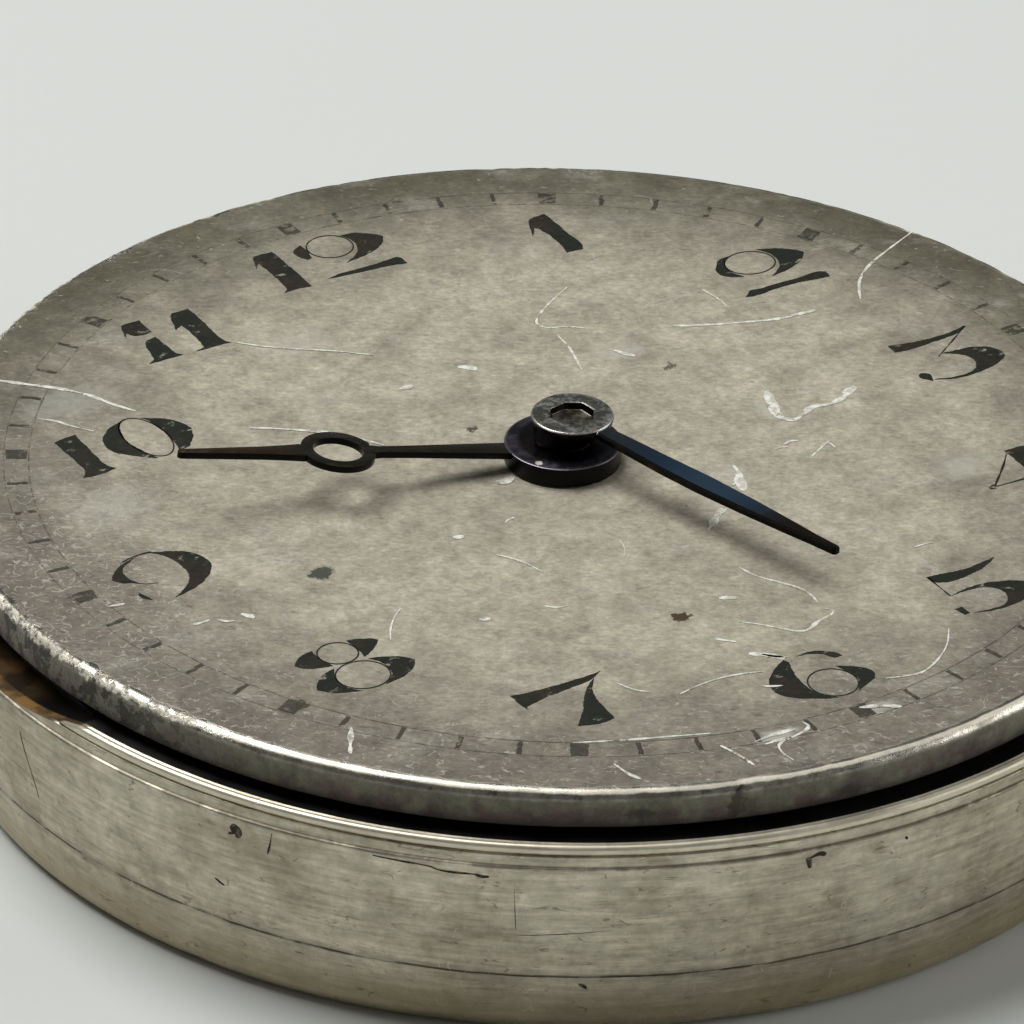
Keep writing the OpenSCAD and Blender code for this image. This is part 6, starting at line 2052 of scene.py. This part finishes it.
@dataclass
class MinuteHand:
    """The minute hand: a leaf with chamfered edges and a blunt tip, and a recessed cap off its centre."""

    clock: float = 164.9
    off: float = 0.18
    off_at: float = 122.6
    top: float = 7.17
    thick: float = 0.16
    half: float = 0.29
    chamfer: float = 0.05
    widths: tuple[Point2, ...] = (
        (0.8, 0.66), (1.0, 0.72), (1.8, 0.82), (3.0, 0.95), (3.9, 1.0), (5.2, 0.86), (6.4, 0.62),
        (7.06, 0.45), (7.51, 0.38), (7.7, 0.36), (7.76, 0.2)
    )
    dips: tuple[Point2, ...] = ((0.8, 0.03), (1.0, 0.03), (1.4, 0.035), (2.0, 0.05), (2.8, 0.07), (8.0, 0.09))
    cap: Corners = (
        (0.0, 7.01),
        (0.46, 7.01, 0.02),
        (0.5, 7.16, 0.02),
        (0.54, 7.17, 0.01),
        (0.88, 7.17, 0.015),
        (0.92, 7.13, 0.02),
        (0.9, 7.02, 0.05),
        (0.64, 6.57, 0.02),
        (0.0, 6.57),
    )
    waist_from: float = 6.6
    waist_to: float = 6.95

    def leaf(self) -> tuple[np.ndarray, Faces]:
        """Shapes the leaf along X.

        Returns:
            Its points and faces.
        """
        knots, shares = zip(*self.widths)
        reach, dip = zip(*self.dips)
        stations = sorted({*np.linspace(0.8, 7.7, 60).round(3).tolist(), *knots})
        points, faces = [], []
        for r in stations:
            half = self.half * float(np.interp(r, knots, shares))
            top = self.top - float(np.interp(r, reach, dip))
            low, edge = top - self.thick, min(self.chamfer, half * 0.4)
            right = [(half, low), (half, top - edge), (half - edge, top)]
            section = [(-half, low), *right, (0, top), (-half + edge, top), (-half, top - edge)]
            points += [(r, y, z) for y, z in section]
        ring = len(section)
        for i in range(len(stations) - 1):
            for k in range(ring):
                a, b = i * ring + k, i * ring + (k + 1) % ring
                faces.append((a, b, b + ring, a + ring))
        faces.append(tuple(range(ring)))
        faces.append(tuple(range(len(points) - ring, len(points))))
        return np.array(points), faces

    def worn(self, r: float, z: float, turn: float) -> float:
        """Returns the cap's radius at an angle: its recess is a worn octagon, and its rim is a little uneven.

        Args:
            r: The plain radius.
            z: The height.
            turn: The angle.

        Returns:
            The radius.
        """
        if r > 0.6 or z < 6.9:
            return r * (1.0 - 0.012 * (1 + math.sin(3 * turn + 1.0)) / 2)
        if r < 0.4:
            return r
        pitch = math.pi / 4
        off = (turn + 0.2) % pitch - pitch / 2
        return r * (0.94 / math.cos(off) + 0.02 * math.sin(3 * turn))

    def build(self) -> None:
        """Builds the hand and places it."""
        turn = math.radians(self.off_at)
        shift = Matrix.Translation((self.off * MM * math.sin(turn), self.off * MM * math.cos(turn), 0))
        points, faces = self.leaf()
        leaf = new_piece("minute_hand_leaf", points, faces, 25)
        leaf.data.transform(shift @ Matrix.Rotation(math.radians(90 - self.clock), 4, "Z"))
        points, faces = spin(rounded(self.cap, False, 4), 128, False, self.worn)
        lean = np.clip(
            (points[:, 2] - self.waist_from) / (self.waist_to - self.waist_from), 0.0, 1.0
        ) * self.off
        points[:, 0] += lean * math.sin(turn)
        points[:, 1] += lean * math.cos(turn)
        boss = new_piece("minute_hand_boss", points, faces, 40)
        for piece in (leaf, boss):
            carry(piece, Body.MINUTE, BluedHand())
        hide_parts("minute_hand")


# the hidden works


@dataclass
class Works:
    """A sub-assembly whose CAD solids are shown as they are, each with its finish."""

    title: str
    finishes: dict[Finish, tuple[str, ...]] = field(default_factory=dict)

    def build(self) -> None:
        """Gives each solid its finish."""
        for finish, names in self.finishes.items():
            for name in names:
                dress(frame["nodes"][name], finish)
            LOG.info("%s: %s on %s", self.title, finish.title, ", ".join(names))


WORKS = (
    Works("Plates and bridges", {
        SHADED_EDGE_GILT: ("main_plate",),
        GILT: ("barrel_bridge", "train_bridge", "pallet_cock", "balance_cock"),
        STEEL: ("case_screws", "bridge_screws", "pallet_cock_screw", "balance_cock_screw"),
        RubyStone(): ("plate_jewels", "bridge_jewels", "pallet_jewel", "balance_jewels"),
    }),
    Works("Mainspring and winding", {
        GILT_WHEEL: ("barrel", "barrel_cover"),
        STEEL: (
            "mainspring", "barrel_arbor", "ratchet_wheel", "ratchet_screw", "crown_wheel",
            "crown_wheel_screw", "click", "click_screw", "click_spring",
        ),
    }),
    Works("Going train", {BRASS: ("centre_wheel", "third_wheel", "fourth_wheel")}),
    Works("Escapement", {
        STEEL: ("escape_wheel", "pallet_fork", "balance_staff", "hairspring_stud", "regulator"),
        GILT_WHEEL: ("balance_wheel",),
        RubyStone(): ("pallet_stones", "roller"),
        BLUE_SPRING: ("hairspring",),
    }),
    Works("Keyless work", {
        STEEL: (
            "winding_stem", "winding_pinion", "clutch_wheel", "yoke", "yoke_screw", "yoke_spring",
            "setting_lever", "setting_lever_screw", "setting_lever_spring", "setting_wheel",
        ),
    }),
    Works("Motion work", {
        GILT_WHEEL: ("hour_wheel", "minute_wheel", "dial_washer"),
        DULL_STEEL: ("cannon_pinion",),
        STEEL: ("dial_foot_screws",),
    }),
)


# the studio


@dataclass
class Studio:
    """The floor, the soft light and the camera."""

    floor_half: float = 3.0
    lamps: tuple[tuple[str, Point3, float, float], ...] = (
        ("soft_light", (-0.244, 0.453, 1.0), 0.36, 2.4),
        ("fill_light", (0.88, -0.5, 0.3), 0.4, 1.1),
    )
    lamp_away: float = 0.5
    world_strength: float = 0.105
    azimuth: float = -32.61
    elevation: float = 30.2
    roll: float = 1.81
    distance: float = 0.189
    pixels: float = 8638.3
    aim: tuple[float, float] = (50.5, 52.8)

    def floor(self) -> None:
        """Lays the pale floor."""
        size = self.floor_half / MM
        piece = new_piece(
            "studio_floor",
            np.array(
                [(-size, -size, -0.01), (size, -size, -0.01), (size, size, -0.01), (-size, size, -0.01)]
            ),
            [(0, 1, 2, 3)]
        )
        dress(piece, StudioFloor())

    def lights(self) -> None:
        """Hangs a large soft light and a weak one, and lights the room evenly."""
        for name, direction, size, power in self.lamps:
            towards = Vector(direction).normalized()
            lamp = bpy.data.lights.new(name, "AREA")
            lamp.shape, lamp.size, lamp.energy = "DISK", size, power
            held = bpy.data.objects.new(name, lamp)
            held.location = towards * self.lamp_away
            held.rotation_euler = towards.to_track_quat("Z", "Y").to_euler()
            held.visible_camera = False
            bpy.context.scene.collection.objects.link(held)
        world = bpy.data.worlds.new("studio_air")
        bpy.context.scene.world = world
        world.use_nodes = True
        graph = Graph(world.node_tree)
        world.node_tree.nodes.clear()
        rays = graph.node("ShaderNodeLightPath")
        air = graph.node(
            "ShaderNodeBackground", {"Color": (1.0, 1.0, 0.99, 1.0), "Strength": self.world_strength}
        )
        seen = graph.node("ShaderNodeBackground", {"Color": tint(214, 217, 213), "Strength": 1.0})
        picked = graph.node(
            "ShaderNodeMixShader", {0: rays.outputs["Is Camera Ray"], 1: air.outputs[0], 2: seen.outputs[0]}
        )
        graph.node("ShaderNodeOutputWorld", {"Surface": picked.outputs[0]})

    def camera(self) -> None:
        """Sets the camera at the photograph's place."""
        a, e, roll = (math.radians(v) for v in (self.azimuth, self.elevation, self.roll))
        back = Vector((math.sin(a) * math.cos(e), -math.cos(a) * math.cos(e), math.sin(e)))
        ahead = -back
        right = Vector((math.cos(a), math.sin(a), 0))
        up = right.cross(ahead)
        side = math.cos(roll) * right + math.sin(roll) * up
        over = math.cos(roll) * up - math.sin(roll) * right
        look = (ahead - self.aim[0] / self.pixels * side - self.aim[1] / self.pixels * over).normalized()
        side = (side - look * side.dot(look)).normalized()
        over = side.cross(look)
        lens = bpy.data.cameras.new("studio_camera")
        lens.sensor_width = 36.0
        lens.lens = self.pixels / 1024 * 36.0
        lens.clip_start, lens.clip_end = 0.01, 50.0
        held = bpy.data.objects.new("studio_camera", lens)
        turned = Matrix((side, over, -look)).transposed().to_4x4()
        held.matrix_world = Matrix.Translation(Vector((0, 0, 0.006)) + back * self.distance) @ turned
        bpy.context.scene.collection.objects.link(held)
        bpy.context.scene.camera = held

    def build(self) -> None:
        """Builds the studio."""
        self.floor()
        self.lights()
        self.camera()
        bpy.context.scene.view_settings.view_transform = "Standard"
        LOG.info("studio ready")


def main() -> None:
    """Builds the whole scene, piece by piece."""
    logging.basicConfig(level=logging.INFO, format="%(name)s: %(message)s")
    noise.seed_set(SEED)
    for part in (
        Studio(), BackCover(), CaseBand(), WallMarks(), Crown(), Dial(), HourHand(), MinuteHand(), *WORKS
    ):
        part.build()


if __name__ == "__main__":
    main()
